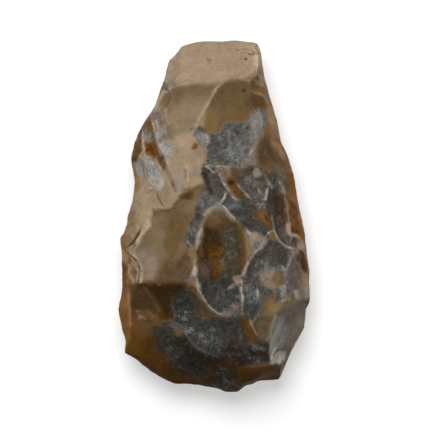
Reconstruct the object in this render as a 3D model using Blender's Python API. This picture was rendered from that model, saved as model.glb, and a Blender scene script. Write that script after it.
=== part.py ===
# Flint side scraper: one knapped piece of flint, lying on its underside with its tip towards +Y.
# The blank is a pebble pulled out to the tool's outline. Each flake that was struck off is an
# ellipsoid that leaves a shallow hollow, and the ridges are where the hollows meet.

import math
import random
from collections import namedtuple

import bmesh
import bpy
from mathutils import Matrix, Vector

MM = 0.001
NAME = "side_scraper"

# Driving sizes of the blank, in millimetres. The two shapes are the exponents of a pillow's
# profile: how flat its middle is, and how full its edge.
EDGE_HEIGHT = 11.0      # height of the sharp edge above the surface it lies on
CROWN_HEIGHT = 38.0     # height of the blank before the upper flakes came off
BELLY_DEPTH = 0.9       # how far the blank's belly bulges below the resting flat
CROWN_SHAPE = (3.0, 1.6)
BELLY_SHAPE = (2.2, 1.35)
BLANK_RINGS = 14        # rings of the pebble from pole to pole
WIDTH = 60.0            # across the outline at its widest
GROUND_DEPTH = 4.0      # half the thickness of the slab that cuts the resting flat

# Corners of the edge seen from above: tip, right margin, heel, left margin
OUTLINE = (
    (-12.0, 50.3), (-9.9, 53.2), (-4.5, 54.6), (7.0, 55.0), (13.5, 54.1), (14.8, 51.8),
    (15.1, 48.0), (15.8, 44.0), (17.5, 37.5), (19.7, 30.5), (21.0, 23.0), (22.6, 20.2),
    (25.2, 12.5), (26.4, 5.0), (28.5, -5.0), (29.3, -12.5), (30.0, -17.0), (30.0, -26.8),
    (28.7, -29.0), (28.4, -34.5), (24.3, -42.0), (21.0, -50.2), (20.0, -51.4), (13.6, -51.5),
    (12.4, -52.7), (10.2, -52.9), (7.6, -55.0), (3.6, -55.0), (1.2, -53.8), (-7.0, -52.6),
    (-12.5, -52.4), (-17.5, -50.0), (-23.0, -45.9), (-27.8, -42.8), (-27.9, -38.5),
    (-30.0, -29.5), (-28.7, -22.5), (-28.9, -10.0), (-29.5, -7.2), (-28.8, -5.4),
    (-26.9, -4.8), (-27.3, -1.0), (-25.2, 5.0), (-24.6, 10.5), (-26.0, 17.5), (-25.5, 21.5),
    (-22.4, 28.6), (-18.5, 34.2), (-15.3, 43.5), (-14.2, 48.5),
)

# A flake scar: the deepest point of its hollow (x, y, z), the way it faces seen from above
# (degrees from +X) and its lean from level, the radii of the hollow along and across that way,
# how tall the cutting ellipsoid is (None: worked out from the radii) and a turn about its normal.
Flake = namedtuple("Flake", "name x y z faces lean along across reach turn",
                   defaults=(None, 0.0))

UPPER_FLAKES = (
    Flake("tip_plane", -0.5, 48.0, 17.4, 98, 36, 110, 120),
    Flake("tip_left", -13.0, 48.0, 15.0, 160, 50, 20, 20),
    Flake("upper_left_hollow", -11.0, 34.0, 21.4, 20, 3, 24, 28, 20),
    Flake("upper_right_hollow", 4.4, 30.5, 20.4, 310, 2, 20, 28, 20, 50),
    Flake("tip_right", 15.4, 40.4, 18.0, 330, 40, 12, 10, 8),
    Flake("right_upper_margin", 18.6, 27.0, 16.8, 12, 62, 90, 60),
    Flake("right_upper_chip", 20.2, 21.5, 15.0, 20, 60, 12, 12),
    Flake("right_long_facet", 20.5, 5.0, 22.2, 4, 49, 60, 30, None, 90),
    Flake("right_margin", 25.5, -3.0, 17.0, 8, 62, 60, 60),
    Flake("right_lower_margin", 26.0, -21.5, 18.0, 355, 60, 50, 60),
    Flake("middle_facet", 8.0, 6.5, 27.2, 60, 8, 90, 90),
    Flake("middle_dark_scar", -0.8, 10.5, 26.6, 285, 6, 30, 6, 8),
    Flake("crown_facet", 2.5, -14.0, 28.8, 270, 0, 120, 60),
    Flake("oval_scar", 2.8, -14.0, 27.1, 270, 0, 90, 19, 5),
    Flake("right_lower_facet", 17.5, -17.5, 25.7, 350, 20, 50, 60),
    Flake("right_heel_hollow", 13.0, -32.0, 25.6, 300, 22, 30, 30),
    Flake("right_heel_facet", 23.0, -35.5, 17.3, 335, 50, 60, 40),
    Flake("heel_upper_hollow", -9.0, -30.0, 23.2, 238, 28, 32, 44),
    Flake("heel_left_facet", -7.5, -46.0, 16.8, 258, 41, 60, 60),
    Flake("heel_right_facet", 8.0, -45.0, 21.3, 280, 38, 60, 60),
    Flake("heel_corner", 16.5, -47.5, 18.9, 288, 60, 60, 25),
    Flake("left_heel_facet", -24.0, -35.5, 16.3, 235, 30, 90, 90),
    Flake("left_lower_chip", -22.5, -27.0, 20.4, 235, 38, 30, 30),
    Flake("left_lower_hollow", -17.0, -10.0, 24.5, 165, 10, 50, 38),
    Flake("left_plate", -20.0, 8.0, 22.2, 172, 28, 60, 60),
    Flake("upper_middle_plate", -8.0, 14.0, 25.8, 150, 10, 60, 60),
    Flake("left_lower_margin", -27.0, -23.0, 17.0, 180, 62, 60, 60),
    Flake("left_notch", -26.0, -7.5, 18.0, 170, 55, 14, 14),
    Flake("left_upper_margin", -22.6, 26.2, 15.6, 152, 54, 60, 60),
    Flake("left_tip_margin", -16.8, 38.5, 15.5, 162, 66, 60, 60),
)

UNDER_FLAKES = (
    Flake("under_tip", 0.0, 42.0, 6.6, 90, 14, 90, 60),
    Flake("under_tip_right", 13.0, 31.0, 7.0, 15, 25, 60, 60),
    Flake("under_tip_left", -12.5, 29.0, 6.6, 155, 25, 60, 60),
    Flake("under_right", 20.0, 6.0, 6.6, 5, 24, 60, 70),
    Flake("under_right_heel", 22.0, -22.0, 6.6, 350, 26, 60, 60),
    Flake("under_left", -19.0, 2.0, 6.6, 178, 24, 60, 60),
    Flake("under_left_heel", -21.0, -24.0, 6.4, 195, 24, 60, 60),
    Flake("under_heel_left", -13.0, -42.0, 6.6, 250, 28, 60, 50),
    Flake("under_heel_right", 8.0, -43.0, 5.6, 282, 26, 60, 60),
)

STRUCK_DETAIL = 4       # subdivisions of the icosphere behind a struck flake
TRIM_DETAIL = 2

# Small flakes all along the edge, where it was trimmed: each value is drawn between two limits
TRIM_SPACING = (6.5, 13.0)
TRIM_BITE = (0.2, 0.9)      # how far inside the outline its deepest point is
TRIM_RADIUS = (5.0, 14.0)
TRIM_LEAN = (42.0, 66.0)
TRIM_HEIGHT = (0.3, 1.3)    # how far above or below the edge a trimming flake is deepest
TRIM_REACH = 5.0
TRIM_SHORTEST = 2.5         # shorter sides of the outline stay untrimmed, or their corners would go
TRIM_SEED = 21

FLINT_COLOUR = (0.17, 0.13, 0.10, 1.0)
FLINT_ROUGHNESS = 0.42


def make_collection(name):
    collection = bpy.data.collections.new(name)
    bpy.context.scene.collection.children.link(collection)
    return collection


def make_object(name, bm, collection):
    mesh = bpy.data.meshes.new(name)
    bm.to_mesh(mesh)
    bm.free()
    obj = bpy.data.objects.new(name, mesh)
    collection.objects.link(obj)
    return obj


def pillow(share, shape):
    """Height of a pillow-like bulge, from 1 at its middle to 0 at its edge."""
    inner, outer = shape
    return max(0.0, 1.0 - share ** inner) ** (1.0 / outer)


def make_blank(collection):
    """A UV sphere whose meridians run to the outline's corners."""
    corners = len(OUTLINE)
    bm = bmesh.new()
    bmesh.ops.create_uvsphere(bm, u_segments=corners, v_segments=BLANK_RINGS, radius=1.0)
    for vert in bm.verts:
        share = min(1.0, math.hypot(vert.co.x, vert.co.y))
        turn = math.atan2(vert.co.y, vert.co.x) / math.tau
        x, y = OUTLINE[-round(turn * corners) % corners]
        if vert.co.z >= 0.0:
            height = EDGE_HEIGHT + (CROWN_HEIGHT - EDGE_HEIGHT) * pillow(share, CROWN_SHAPE)
        else:
            height = EDGE_HEIGHT - (EDGE_HEIGHT + BELLY_DEPTH) * pillow(share, BELLY_SHAPE)
        vert.co = Vector((share * x, share * y, height)) * MM
    bmesh.ops.triangulate(bm, faces=bm.faces)
    return make_object(NAME, bm, collection)


def make_cutter(flake, side, detail, collection):
    """An ellipsoid that touches the stone at the flake's deepest point; side is +1 or -1."""
    faces = math.radians(flake.faces)
    lean = math.radians(flake.lean)
    outward = Vector((math.cos(faces), math.sin(faces), 0.0))
    normal = outward * math.sin(lean) + Vector((0.0, 0.0, side * math.cos(lean)))
    along = outward * math.cos(lean) - Vector((0.0, 0.0, side * math.sin(lean)))
    along = Matrix.Rotation(math.radians(flake.turn), 3, normal) @ along
    across = normal.cross(along)
    reach = flake.reach or max(8.0, 0.5 * max(flake.along, flake.across))
    radii = (math.sqrt(reach * flake.along), math.sqrt(reach * flake.across), reach)
    centre = Vector((flake.x, flake.y, flake.z)) + normal * reach
    axes = Matrix((along, across, normal)).transposed()
    bm = bmesh.new()
    bmesh.ops.create_icosphere(bm, subdivisions=detail, radius=1.0)
    for vert in bm.verts:
        stretched = Vector([size * part for size, part in zip(radii, vert.co)])
        vert.co = (axes @ stretched + centre) * MM
    cutter = make_object("cut_" + flake.name, bm, collection)
    cutter.display_type = 'WIRE'
    cutter.hide_render = True
    return cutter


def make_ground(collection):
    """A slab under the blank's belly, which leaves the flat that the tool lies on."""
    bm = bmesh.new()
    size = Vector((WIDTH, WIDTH, 2 * GROUND_DEPTH)) * MM
    shift = Matrix.Translation((0.0, 0.0, -GROUND_DEPTH * MM))
    bmesh.ops.create_cube(bm, size=1.0, matrix=shift @ Matrix.Diagonal(size.to_4d()))
    slab = make_object("cut_ground", bm, collection)
    slab.display_type = 'WIRE'
    slab.hide_render = True
    return slab


def trimming_flakes():
    """Small flakes side by side round the outline, as (flake, side) pairs."""
    chance = random.Random(TRIM_SEED)
    wait = 0.0
    flakes = []
    for (x0, y0), (x1, y1) in zip(OUTLINE, OUTLINE[1:] + OUTLINE[:1]):
        run = math.hypot(x1 - x0, y1 - y0)
        out = Vector((y0 - y1, x1 - x0)) / run
        faces = math.degrees(math.atan2(out.y, out.x))
        while wait < run:
            share = wait / run
            for side in (1, -1):
                bite = chance.uniform(*TRIM_BITE)
                radius = chance.uniform(*TRIM_RADIUS)
                lean = chance.uniform(*TRIM_LEAN)
                x = x0 + (x1 - x0) * share - out.x * bite
                y = y0 + (y1 - y0) * share - out.y * bite
                z = EDGE_HEIGHT + side * chance.uniform(*TRIM_HEIGHT)
                name = "trim_%03d" % len(flakes)
                row = Flake(name, x, y, z, faces, lean, 2 * radius, radius, TRIM_REACH)
                if run > TRIM_SHORTEST:
                    flakes.append((row, side))
            wait += chance.uniform(*TRIM_SPACING)
        wait -= run
    return flakes


def subtract(obj, cutter):
    """MANIFOLD, because EXACT leaves open seams where several hollows meet at a point."""
    cut = obj.modifiers.new(cutter.name, 'BOOLEAN')
    cut.operation = 'DIFFERENCE'
    cut.solver = 'MANIFOLD'
    cut.object = cutter


def make_flint():
    flint = bpy.data.materials.new("flint")
    flint.use_nodes = True
    shader = flint.node_tree.nodes["Principled BSDF"]
    shader.inputs["Base Color"].default_value = FLINT_COLOUR
    shader.inputs["Roughness"].default_value = FLINT_ROUGHNESS
    shader.inputs["Metallic"].default_value = 0.0
    return flint


def main():
    for obj in list(bpy.data.objects):
        bpy.data.objects.remove(obj, do_unlink=True)
    parts = make_collection("flint_side_scraper")
    blank = make_blank(parts)
    blank.data.materials.append(make_flint())

    cutters = make_collection("cutters")
    for flake in UPPER_FLAKES:
        subtract(blank, make_cutter(flake, 1, STRUCK_DETAIL, cutters))
    for flake in UNDER_FLAKES:
        subtract(blank, make_cutter(flake, -1, STRUCK_DETAIL, cutters))
    for flake, side in trimming_flakes():
        subtract(blank, make_cutter(flake, side, TRIM_DETAIL, cutters))
    subtract(blank, make_ground(cutters))


main()
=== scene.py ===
# A flint side scraper seen from straight above, lying on a pale surface with its tip away.
# Plan positions are in millimetres from the middle of the tool: x to the right, y to the tip.
import math
from itertools import product

import bmesh
import bpy
import numpy as np
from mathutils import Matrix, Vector


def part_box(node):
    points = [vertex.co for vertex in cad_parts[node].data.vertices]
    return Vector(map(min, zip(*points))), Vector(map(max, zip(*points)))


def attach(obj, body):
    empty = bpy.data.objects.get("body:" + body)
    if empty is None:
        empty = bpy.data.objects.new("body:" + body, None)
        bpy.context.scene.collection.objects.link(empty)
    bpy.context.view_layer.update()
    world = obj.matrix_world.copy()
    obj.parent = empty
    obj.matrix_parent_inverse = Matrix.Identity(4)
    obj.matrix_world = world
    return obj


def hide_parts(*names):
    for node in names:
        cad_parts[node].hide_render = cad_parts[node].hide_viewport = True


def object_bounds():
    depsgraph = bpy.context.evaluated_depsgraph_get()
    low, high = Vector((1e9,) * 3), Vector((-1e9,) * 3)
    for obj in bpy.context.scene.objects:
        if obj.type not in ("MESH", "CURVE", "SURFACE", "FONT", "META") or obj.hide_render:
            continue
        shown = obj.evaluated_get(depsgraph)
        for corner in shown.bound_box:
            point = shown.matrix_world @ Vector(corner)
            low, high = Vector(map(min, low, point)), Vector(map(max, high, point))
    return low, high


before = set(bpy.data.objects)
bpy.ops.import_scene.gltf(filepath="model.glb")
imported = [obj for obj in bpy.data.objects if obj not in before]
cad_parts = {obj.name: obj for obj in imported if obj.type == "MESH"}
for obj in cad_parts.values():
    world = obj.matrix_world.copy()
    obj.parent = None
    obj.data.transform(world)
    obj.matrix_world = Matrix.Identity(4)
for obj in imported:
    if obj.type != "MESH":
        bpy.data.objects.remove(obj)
solidBox = [list(corner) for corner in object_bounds()]

lowest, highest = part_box("side_scraper")
millimetre = (highest.y - lowest.y) / 110  # the tool is drawn 110 mm long
middle = np.array([(lowest.x + highest.x) / 2, (lowest.y + highest.y) / 2, lowest.z])

stone = {
    "pointSpacing": 0.44,  # of the fine mesh
    "weldDistance": 1e-6,  # in metres
    "facetRounds": 70,  # how often the facets' normals are averaged
    "ridgeTurn": 0.17,  # neighbours that turn by more than this keep their ridge
    "settleRounds": 25,
    "ridgeBlur": 2,
    "edgeHeight": 11.0,
    "seenBelowEdge": 2.0,  # how far down the sides the relief and the painting are worked out
    "reliefFades": (-1.5, 0.5),  # from the edge's height: no relief, and all of it
    "paintFades": (-3.0, -0.5),
    "flatHeight": 0.02,  # points lower than this stay in the resting flat
}

tiny = 1e-12  # keeps a division by nothing away
noiseCells = 32


def smoothstep(low, high, value):
    share = np.clip((value - low) / (high - low), 0, 1)
    return share * share * (3 - 2 * share)


def makeNoise(seed):  # smooth noise from -1 to 1; size is the width of its lumps
    table = np.random.default_rng(seed).random((noiseCells,) * 3)

    def noise(places, size):
        scaled = places / size
        cell = np.floor(scaled).astype(int)
        share = scaled - cell
        share = share * share * (3 - 2 * share)
        total = np.zeros(len(places))
        for corner in product((0, 1), repeat=3):
            weight = np.where(corner, share, 1 - share).prod(axis=1)
            i, j, k = ((cell + corner) % noiseCells).T
            total += weight * table[i, j, k]
        return 2 * total - 1

    return noise


def curveThrough(corners, closed, steps=5):  # a smooth line through the corners
    corners = np.array(corners, float)
    if closed:
        padded = np.concatenate([corners[-1:], corners, corners[:2]])
    else:
        padded = np.concatenate([2 * corners[:1] - corners[1:2], corners, 2 * corners[-1:] - corners[-2:-1]])
    a, b, c, d = padded[:-3], padded[1:-2], padded[2:-1], padded[3:]
    rows = []
    for t in np.arange(steps) / steps:
        rows.append(0.5 * (2 * b + (c - a) * t + (2 * a - 5 * b + 4 * c - d) * t ** 2
                           + (3 * b - a - 3 * c + d) * t ** 3))
    line = np.stack(rows, axis=1).reshape(-1, 2)
    return line if closed else np.concatenate([line, corners[-1:]])


def nearest(plan, line):  # distance to the line, which side, and how far along it from 0 to 1
    best = np.full(len(plan), np.inf)
    side = np.zeros(len(plan))
    along = np.zeros(len(plan))
    for step, (start, end) in enumerate(zip(line[:-1], line[1:])):
        way = end - start
        offset = plan - start
        share = np.clip((offset @ way) / max(way @ way, tiny), 0, 1)
        gap = np.linalg.norm(offset - share[:, None] * way, axis=1)
        closer = gap < best
        best[closer] = gap[closer]
        side[closer] = np.sign(way[0] * offset[closer, 1] - way[1] * offset[closer, 0])
        along[closer] = (step + share[closer]) / (len(line) - 1)
    return best, side, along


def depthInside(plan, corners):  # distance to a closed outline, positive inside it
    line = curveThrough(corners, True)
    line = np.concatenate([line, line[:1]])
    gap, _, _ = nearest(plan, line)
    inside = np.zeros(len(plan), bool)
    for (x0, y0), (x1, y1) in zip(line[:-1], line[1:]):
        if y0 != y1:
            crosses = (plan[:, 1] < y0) != (plan[:, 1] < y1)
            inside ^= crosses & (plan[:, 0] < x0 + (plan[:, 1] - y0) / (y1 - y0) * (x1 - x0))
    return np.where(inside, gap, -gap)


def around(plan, corners, reach):  # only the points near enough to matter
    low, high = np.min(corners, axis=0) - reach, np.max(corners, axis=0) + reach
    return np.flatnonzero(((plan >= low) & (plan <= high)).all(axis=1))


def unit(vectors):
    return vectors / np.maximum(np.linalg.norm(vectors, axis=1), tiny)[:, None]


def addUp(places, values, count):  # sums the rows of values that go to each place
    return np.stack([np.bincount(places, column, count) for column in values.T], axis=1)


def fineSkin():
    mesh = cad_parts["side_scraper"].data.copy()
    soup = bmesh.new()
    soup.from_mesh(mesh)
    bmesh.ops.remove_doubles(soup, verts=soup.verts, dist=stone["weldDistance"])
    soup.to_mesh(mesh)
    soup.free()
    rough = bpy.data.objects.new("roughFlint", mesh)
    bpy.context.scene.collection.objects.link(rough)
    remesh = rough.modifiers.new("evenPoints", 'REMESH')
    remesh.mode = 'VOXEL'
    remesh.voxel_size = stone["pointSpacing"] * millimetre
    triangles = rough.modifiers.new("triangles", 'TRIANGULATE')
    triangles.quad_method = 'SHORTEST_DIAGONAL'
    depsgraph = bpy.context.evaluated_depsgraph_get()
    skin = bpy.data.meshes.new_from_object(rough.evaluated_get(depsgraph))
    bpy.data.objects.remove(rough)
    points = np.zeros(len(skin.vertices) * 3)
    skin.vertices.foreach_get("co", points)
    faces = np.zeros(len(skin.polygons) * 3, int)
    skin.polygons.foreach_get("vertices", faces)
    return skin, (points.reshape(-1, 3) - middle) / millimetre, faces.reshape(-1, 3)


def faceNormals(points, faces):
    a, b, c = (points[faces[:, corner]] for corner in range(3))
    crossed = np.cross(b - a, c - a)
    area = np.linalg.norm(crossed, axis=1)
    return crossed / np.maximum(area, tiny)[:, None], area


def pointNormals(points, faces):
    normals, area = faceNormals(points, faces)
    return unit(sum(addUp(faces[:, k], normals * area[:, None], len(points)) for k in range(3)))


def edgePairs(faces, count):  # each edge's two ends, and the two faces that share it
    edges = np.sort(faces[:, [0, 1, 1, 2, 2, 0]].reshape(-1, 2), axis=1)
    key = edges[:, 0] * count + edges[:, 1]
    order = np.argsort(key, kind="stable")
    twins = np.flatnonzero(key[order[:-1]] == key[order[1:]])
    return edges[order[twins]], order[twins] // 3, order[twins + 1] // 3


def smoothHollows(points, faces):  # averages the facets away and leaves the ridges crisp
    normals, area = faceNormals(points, faces)
    _, one, other = edgePairs(faces, len(points))
    for _ in range(stone["facetRounds"]):
        turn = ((normals[one] - normals[other]) ** 2).sum(axis=1)
        weight = np.exp(-turn / (2 * stone["ridgeTurn"] ** 2))[:, None]
        total = normals * area[:, None]
        total += addUp(one, weight * normals[other] * area[other, None], len(faces))
        total += addUp(other, weight * normals[one] * area[one, None], len(faces))
        normals = unit(total)
    count = np.bincount(faces.ravel(), minlength=len(points))[:, None]
    for _ in range(stone["settleRounds"]):
        centre = points[faces].mean(axis=1)
        move = np.zeros_like(points)
        for k in range(3):
            rise = ((centre - points[faces[:, k]]) * normals).sum(axis=1)
            move += addUp(faces[:, k], normals * rise[:, None], len(points))
        points = points + move / count
    return points


def spread(values, ends, rounds):  # blurs values over the mesh
    count = np.bincount(ends.ravel(), minlength=len(values)) + 1
    for _ in range(rounds):
        total = values.copy()
        total += np.bincount(ends[:, 0], values[ends[:, 1]], len(values))
        total += np.bincount(ends[:, 1], values[ends[:, 0]], len(values))
        values = total / count
    return values


def howSharp(points, normals, ends):  # positive on ridges, negative in valleys, in 1/mm
    way = points[ends[:, 1]] - points[ends[:, 0]]
    turn = ((normals[ends[:, 1]] - normals[ends[:, 0]]) * way).sum(axis=1)
    bend = turn / np.maximum((way ** 2).sum(axis=1), tiny)
    total = np.bincount(ends[:, 0], bend, len(points)) + np.bincount(ends[:, 1], bend, len(points))
    return total / np.bincount(ends.ravel(), minlength=len(points))


print("making the fine mesh")
skin, points, faces = fineSkin()
print("  points", len(points), "triangles", len(faces))
resting = points[:, 2] < stone["flatHeight"]
points = smoothHollows(points, faces)
ends, _, _ = edgePairs(faces, len(points))
normals = pointNormals(points, faces)
ridge = spread(howSharp(points, normals, ends), ends, stone["ridgeBlur"])
aboveEdge = points[:, 2] - stone["edgeHeight"]
upper = np.flatnonzero(aboveEdge > -stone["seenBelowEdge"])
plan = points[upper, :2]

relief = {
    "sway": (1.7, 0.22),  # lump width and reach of the wobble in every line
    "swayShifts": (40, 80),  # where in the noise the wobble across and up is taken
    "pitFall": 1.4,  # how fast a pit gets shallower
    "rippleSway": 0.5,
    "rippleFades": (2, 8),  # over this much after the first radius, and before the last
    "stepWidth": 0.22,
    "ledgeEnd": 0.12,  # share of a ledge over which its ends fade
    # lump width and height of the undulation, the hammered look and the grain
    "lumps": [(9.0, 0.12), (2.2, 0.045), (0.8, 0.035)],
    "swaySeed": 3,
    "lumpSeed": 20,
}

# a plate's broken edge: height, how far it takes to fade, and a line with the plate on its left
relief["ledges"] = {
    "plateOverScar": (0.55, 5.0, [(-21.5, -5), (-20, -2), (-19, 1.8), (-16.5, 2.2), (-14, 1.8), (-12.4, 3.2),
        (-10.3, 5.2), (-8, 6.6), (-5, 8.5), (-3.4, 10)]),
    "leftPlates": (0.5, 3.5, [(-18.9, 29.4), (-17.9, 25.4), (-17.1, 22), (-15.5, 19.4), (-14.2, 16),
        (-12.7, 12), (-11.2, 6.8)]),
    "longPlate": (0.35, 2.5, [(-10.4, 6.6), (-9, 9.5), (-8.7, 13), (-9.4, 17), (-9.8, 20)]),
    "outerPlate": (0.45, 2.5, [(-22.3, 25.6), (-22, 21.6), (-21.2, 17.8), (-18.2, 17.4), (-17, 13)]),
    "ovalTop": (0.35, 2.5, [(12, -6.6), (9.5, -4), (6.2, -0.8), (3.2, 2.2), (1.6, 3.2), (-0.4, 2.6),
        (-2.6, 0.6), (-4, -3.4), (-5.2, -8), (-5.8, -13)]),
    "kneeArc": (0.45, 5.0, [(2.2, -44.6), (-1.5, -43.3), (-4.2, -42), (-6.6, -40.4), (-8.6, -38.4),
        (-9.6, -36), (-9.8, -33)]),
    "heelChip": (0.35, 2.0, [(-24.6, -29.4), (-23, -30.4), (-22.4, -31.8), (-20.2, -32.8), (-17.6, -31.8)]),
    "notchUpper": (0.5, 2.2, [(-27.4, -9.9), (-25.2, -8.2), (-23.7, -5.8), (-22.7, -3.4)]),
    "notchLower": (0.45, 2.0, [(-27, -12), (-25, -13), (-23.3, -14.4), (-22.6, -17.2), (-23.4, -20.4)]),
}

# small flake scars: depth, how wide the slope at their rim is, and their outline
relief["scoops"] = {
    "lens": (0.8, 2.2, [(-3.5, 15), (-1.8, 15.2), (-0.2, 14.6), (1.2, 12.8), (2.6, 10.2), (3.9, 8),
        (3.6, 6.2), (2.2, 5), (0.4, 5.6), (-1.2, 7), (-2.3, 9.2), (-3.1, 12)]),
    "darkFacet": (0.75, 2.6, [(5.4, 14.8), (9, 15), (12, 14.9), (14.6, 13.6), (16.2, 11.2), (17.2, 9.6),
        (16.6, 7), (16.2, 4.8), (14.2, 4.2), (11.8, 5.6), (10, 7), (8.2, 9.2), (6.8, 11.4), (5.6, 12.8)]),
    "blade": (0.55, 2.2, [(2.6, 4), (4.2, 7), (5.6, 6.4), (7.6, 4.9), (10, 4.8), (12.4, 3.4), (14, 1.4),
        (15.6, -1.4), (17.8, -4), (17.4, -5.6), (14, -5.3), (11, -4.6), (8, -2.1), (5.4, 0.5), (3.4, 2.7)]),
    "channel": (0.8, 2.2, [(18.6, 12.6), (20.8, 11.4), (22, 7.6), (21.8, 3), (22.2, -2), (23.2, -5.4),
        (25.8, -7.2), (26.2, -9), (23.8, -9.8), (21.2, -8.6), (19.4, -5.8), (18.8, -3), (18.4, 0), (17.8, 4),
        (18.2, 8)]),
    "narrow": (0.5, 1.2, [(16.9, 8.6), (17.9, 8), (17.9, 4), (18.2, 0.4), (17, 1.4), (16.6, 4.8)]),
    "lowerRight": (0.5, 3.0, [(12.2, -11.6), (14.6, -10.8), (16.6, -8.2), (18.8, -5.6), (20.4, -8),
        (23.4, -10.2), (23.8, -13.4), (22.4, -17.4), (20.8, -21.8), (16, -24.8), (13.6, -27), (9.5, -27.6),
        (9, -24), (9.3, -19), (10.6, -15)]),
    "mauve": (0.45, 2.2, [(24.6, -12.4), (26, -13.4), (26.8, -18), (27, -22.6), (24.6, -24.6), (21.6, -24),
        (21.8, -20), (23.4, -16.4)]),
    "tipRightChip": (0.45, 2.0, [(10.9, 41.4), (12, 42.8), (14.6, 42.6), (16.2, 40.6), (16.8, 38),
        (14.6, 37.6), (12.4, 38.4), (11.2, 39.4)]),
    "edgeChip": (0.4, 1.6, [(23.4, -3.2), (23.4, -5.4), (25.4, -6.6), (27.4, -6.8), (26.4, -4.4),
        (24.6, -2.8)]),
    "kneeFacet": (0.5, 2.0, [(18.6, -43.6), (20.2, -41.6), (22.4, -41.2), (22.6, -43.6), (20.8, -46),
        (19, -46.2)]),
    "leftFlake": (0.4, 1.6, [(-26.8, -13.4), (-24.4, -14.4), (-23.4, -17), (-24, -20.6), (-26.4, -20.8)]),
}

# height (negative for a groove), half width and a line
relief["lines"] = {
    "notch": (-0.6, 0.4, [(-22.7, -3.6), (-23.6, -5.6), (-25.1, -8), (-27.2, -9.8)]),
    "notchTwo": (-0.45, 0.35, [(-26.9, -12), (-25, -13), (-23.3, -14.3)]),
    "notchThree": (-0.4, 0.35, [(-23.9, -15.4), (-22.9, -17.4), (-23.5, -20.4)]),
    "plateCrack": (-0.35, 0.3, [(-18, 7.4), (-17, 5.4), (-16, 3.8), (-15.1, 2.4)]),
    "plateCrackTwo": (-0.25, 0.25, [(-20.9, 7), (-19.6, 7.7), (-18.5, 8.3)]),
    "longCrack": (-0.35, 0.3, [(-14.6, 14.8), (-13.1, 10.8), (-11.3, 7)]),
    "crevice": (-0.7, 0.8, [(4.9, 10.6), (6.4, 8.8), (7.6, 7.2), (9, 6)]),
    "tipScratch": (-0.25, 0.3, [(10.2, 50.6), (12.8, 50.2)]),
    "ovalRimLeft": (0.16, 0.4, [(-3, 1), (-4.2, -4), (-5.3, -8), (-5.9, -13), (-5.7, -17.5), (-4.6, -22),
        (-2.9, -26), (-0.8, -28.6), (1.6, -30.2), (4.4, -30.7)]),
    "ovalRimRight": (0.16, 0.4, [(11.4, -8), (11.6, -11), (10.4, -14.6), (8.9, -18), (8.4, -22), (8.8, -26),
        (8.6, -30.6)]),
}

# across, up, radius, depth
relief["pits"] = [
    (10.0, 48.8, 0.5, 0.45), (9.3, 38.7, 0.6, 0.5), (5.4, 10.2, 0.7, 0.8), (1.6, 39, 0.5, 0.25),
    (3.1, 38.2, 0.5, 0.25), (-1.6, 48.4, 0.5, 0.2), (-24.2, 20.6, 1.6, 0.7), (-20, 20.6, 1.6, 0.6),
    (-21.2, 28.3, 0.9, 0.5), (-18, 19.2, 0.8, 0.4), (-16, 17, 0.7, 0.4), (-6.1, 21.8, 0.6, 0.3),
    (-15.6, 41, 0.5, 0.3), (-14.8, 38.8, 0.5, 0.25), (27.2, -14, 1.2, 0.5), (16.4, -0.6, 0.9, 0.4),
    (-6.4, -22.6, 0.8, 0.3), (0, -10.5, 1.5, 0.3), (1.6, -16, 1.3, 0.25), (-25.4, -18, 0.8, 0.4),
    (22, 2, 0.9, 0.5), (25.2, -0.5, 0.8, 0.4), (-7.4, -7.8, 0.8, 0.35),
]

# rings that ran out from a blow: across, up, spacing, height, first and last radius
relief["ripples"] = [
    (-29, -10, 3.1, 0.035, 6, 22), (-17, 40, 2.9, 0.015, 4, 20), (8, 44, 3.3, 0.015, 4, 16),
    (-14, -54, 3.4, 0.035, 6, 24), (-28, -44, 2.9, 0.02, 4, 16), (29, -34, 2.6, 0.04, 3, 14),
    (27, 6, 2.3, 0.04, 3, 16), (-26, 18, 2.5, 0.03, 3, 14),
]


def addRelief():
    height = np.zeros(len(points))
    wander = makeNoise(relief["swaySeed"])
    size, reach = relief["sway"]
    sway = np.stack([wander(points[upper] + shift, size) for shift in relief["swayShifts"]], axis=1)
    swayed = plan + reach * sway
    stepWidth, ledgeEnd = relief["stepWidth"], relief["ledgeEnd"]
    for rise, fade, corners in relief["ledges"].values():
        near = around(swayed, corners, 3 * fade)
        gap, side, along = nearest(swayed[near], curveThrough(corners, False))
        ending = smoothstep(0, ledgeEnd, along) * smoothstep(0, ledgeEnd, 1 - along)
        step = smoothstep(-stepWidth, stepWidth, gap * side) * np.exp(-np.maximum(gap * side, 0) / fade)
        height[upper[near]] += rise * step * ending
    for depth, rim, corners in relief["scoops"].values():
        near = around(swayed, corners, 0)
        inward = np.clip(depthInside(swayed[near], corners) / rim, 0, 1)
        height[upper[near]] -= depth * (1 - (1 - inward) ** 2)
    for rise, width, corners in relief["lines"].values():
        near = around(swayed, corners, 3 * width)
        gap, _, _ = nearest(swayed[near], curveThrough(corners, False))
        height[upper[near]] += rise * np.exp(-(gap / width) ** 2)
    for x, y, radius, depth in relief["pits"]:
        gap = np.linalg.norm(swayed - (x, y), axis=1)
        height[upper] -= depth * np.exp(-(gap / radius) ** 2 * relief["pitFall"])
    fadeIn, fadeOut = relief["rippleFades"]
    for x, y, spacing, rise, first, last in relief["ripples"]:
        gap = np.linalg.norm(plan + relief["rippleSway"] * sway - (x, y), axis=1)
        share = smoothstep(first, first + fadeIn, gap) * smoothstep(last, last - fadeOut, gap)
        height[upper] += rise * share * np.sin(gap / spacing * math.tau)
    height *= smoothstep(*stone["reliefFades"], aboveEdge)
    for seed, (size, rise) in enumerate(relief["lumps"], relief["lumpSeed"]):
        height += rise * makeNoise(seed)(points, size)
    return height


def keepInBox(places):
    low, high = ((np.array(corner) - middle) / millimetre for corner in solidBox)
    return np.clip(places, low, high)


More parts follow.
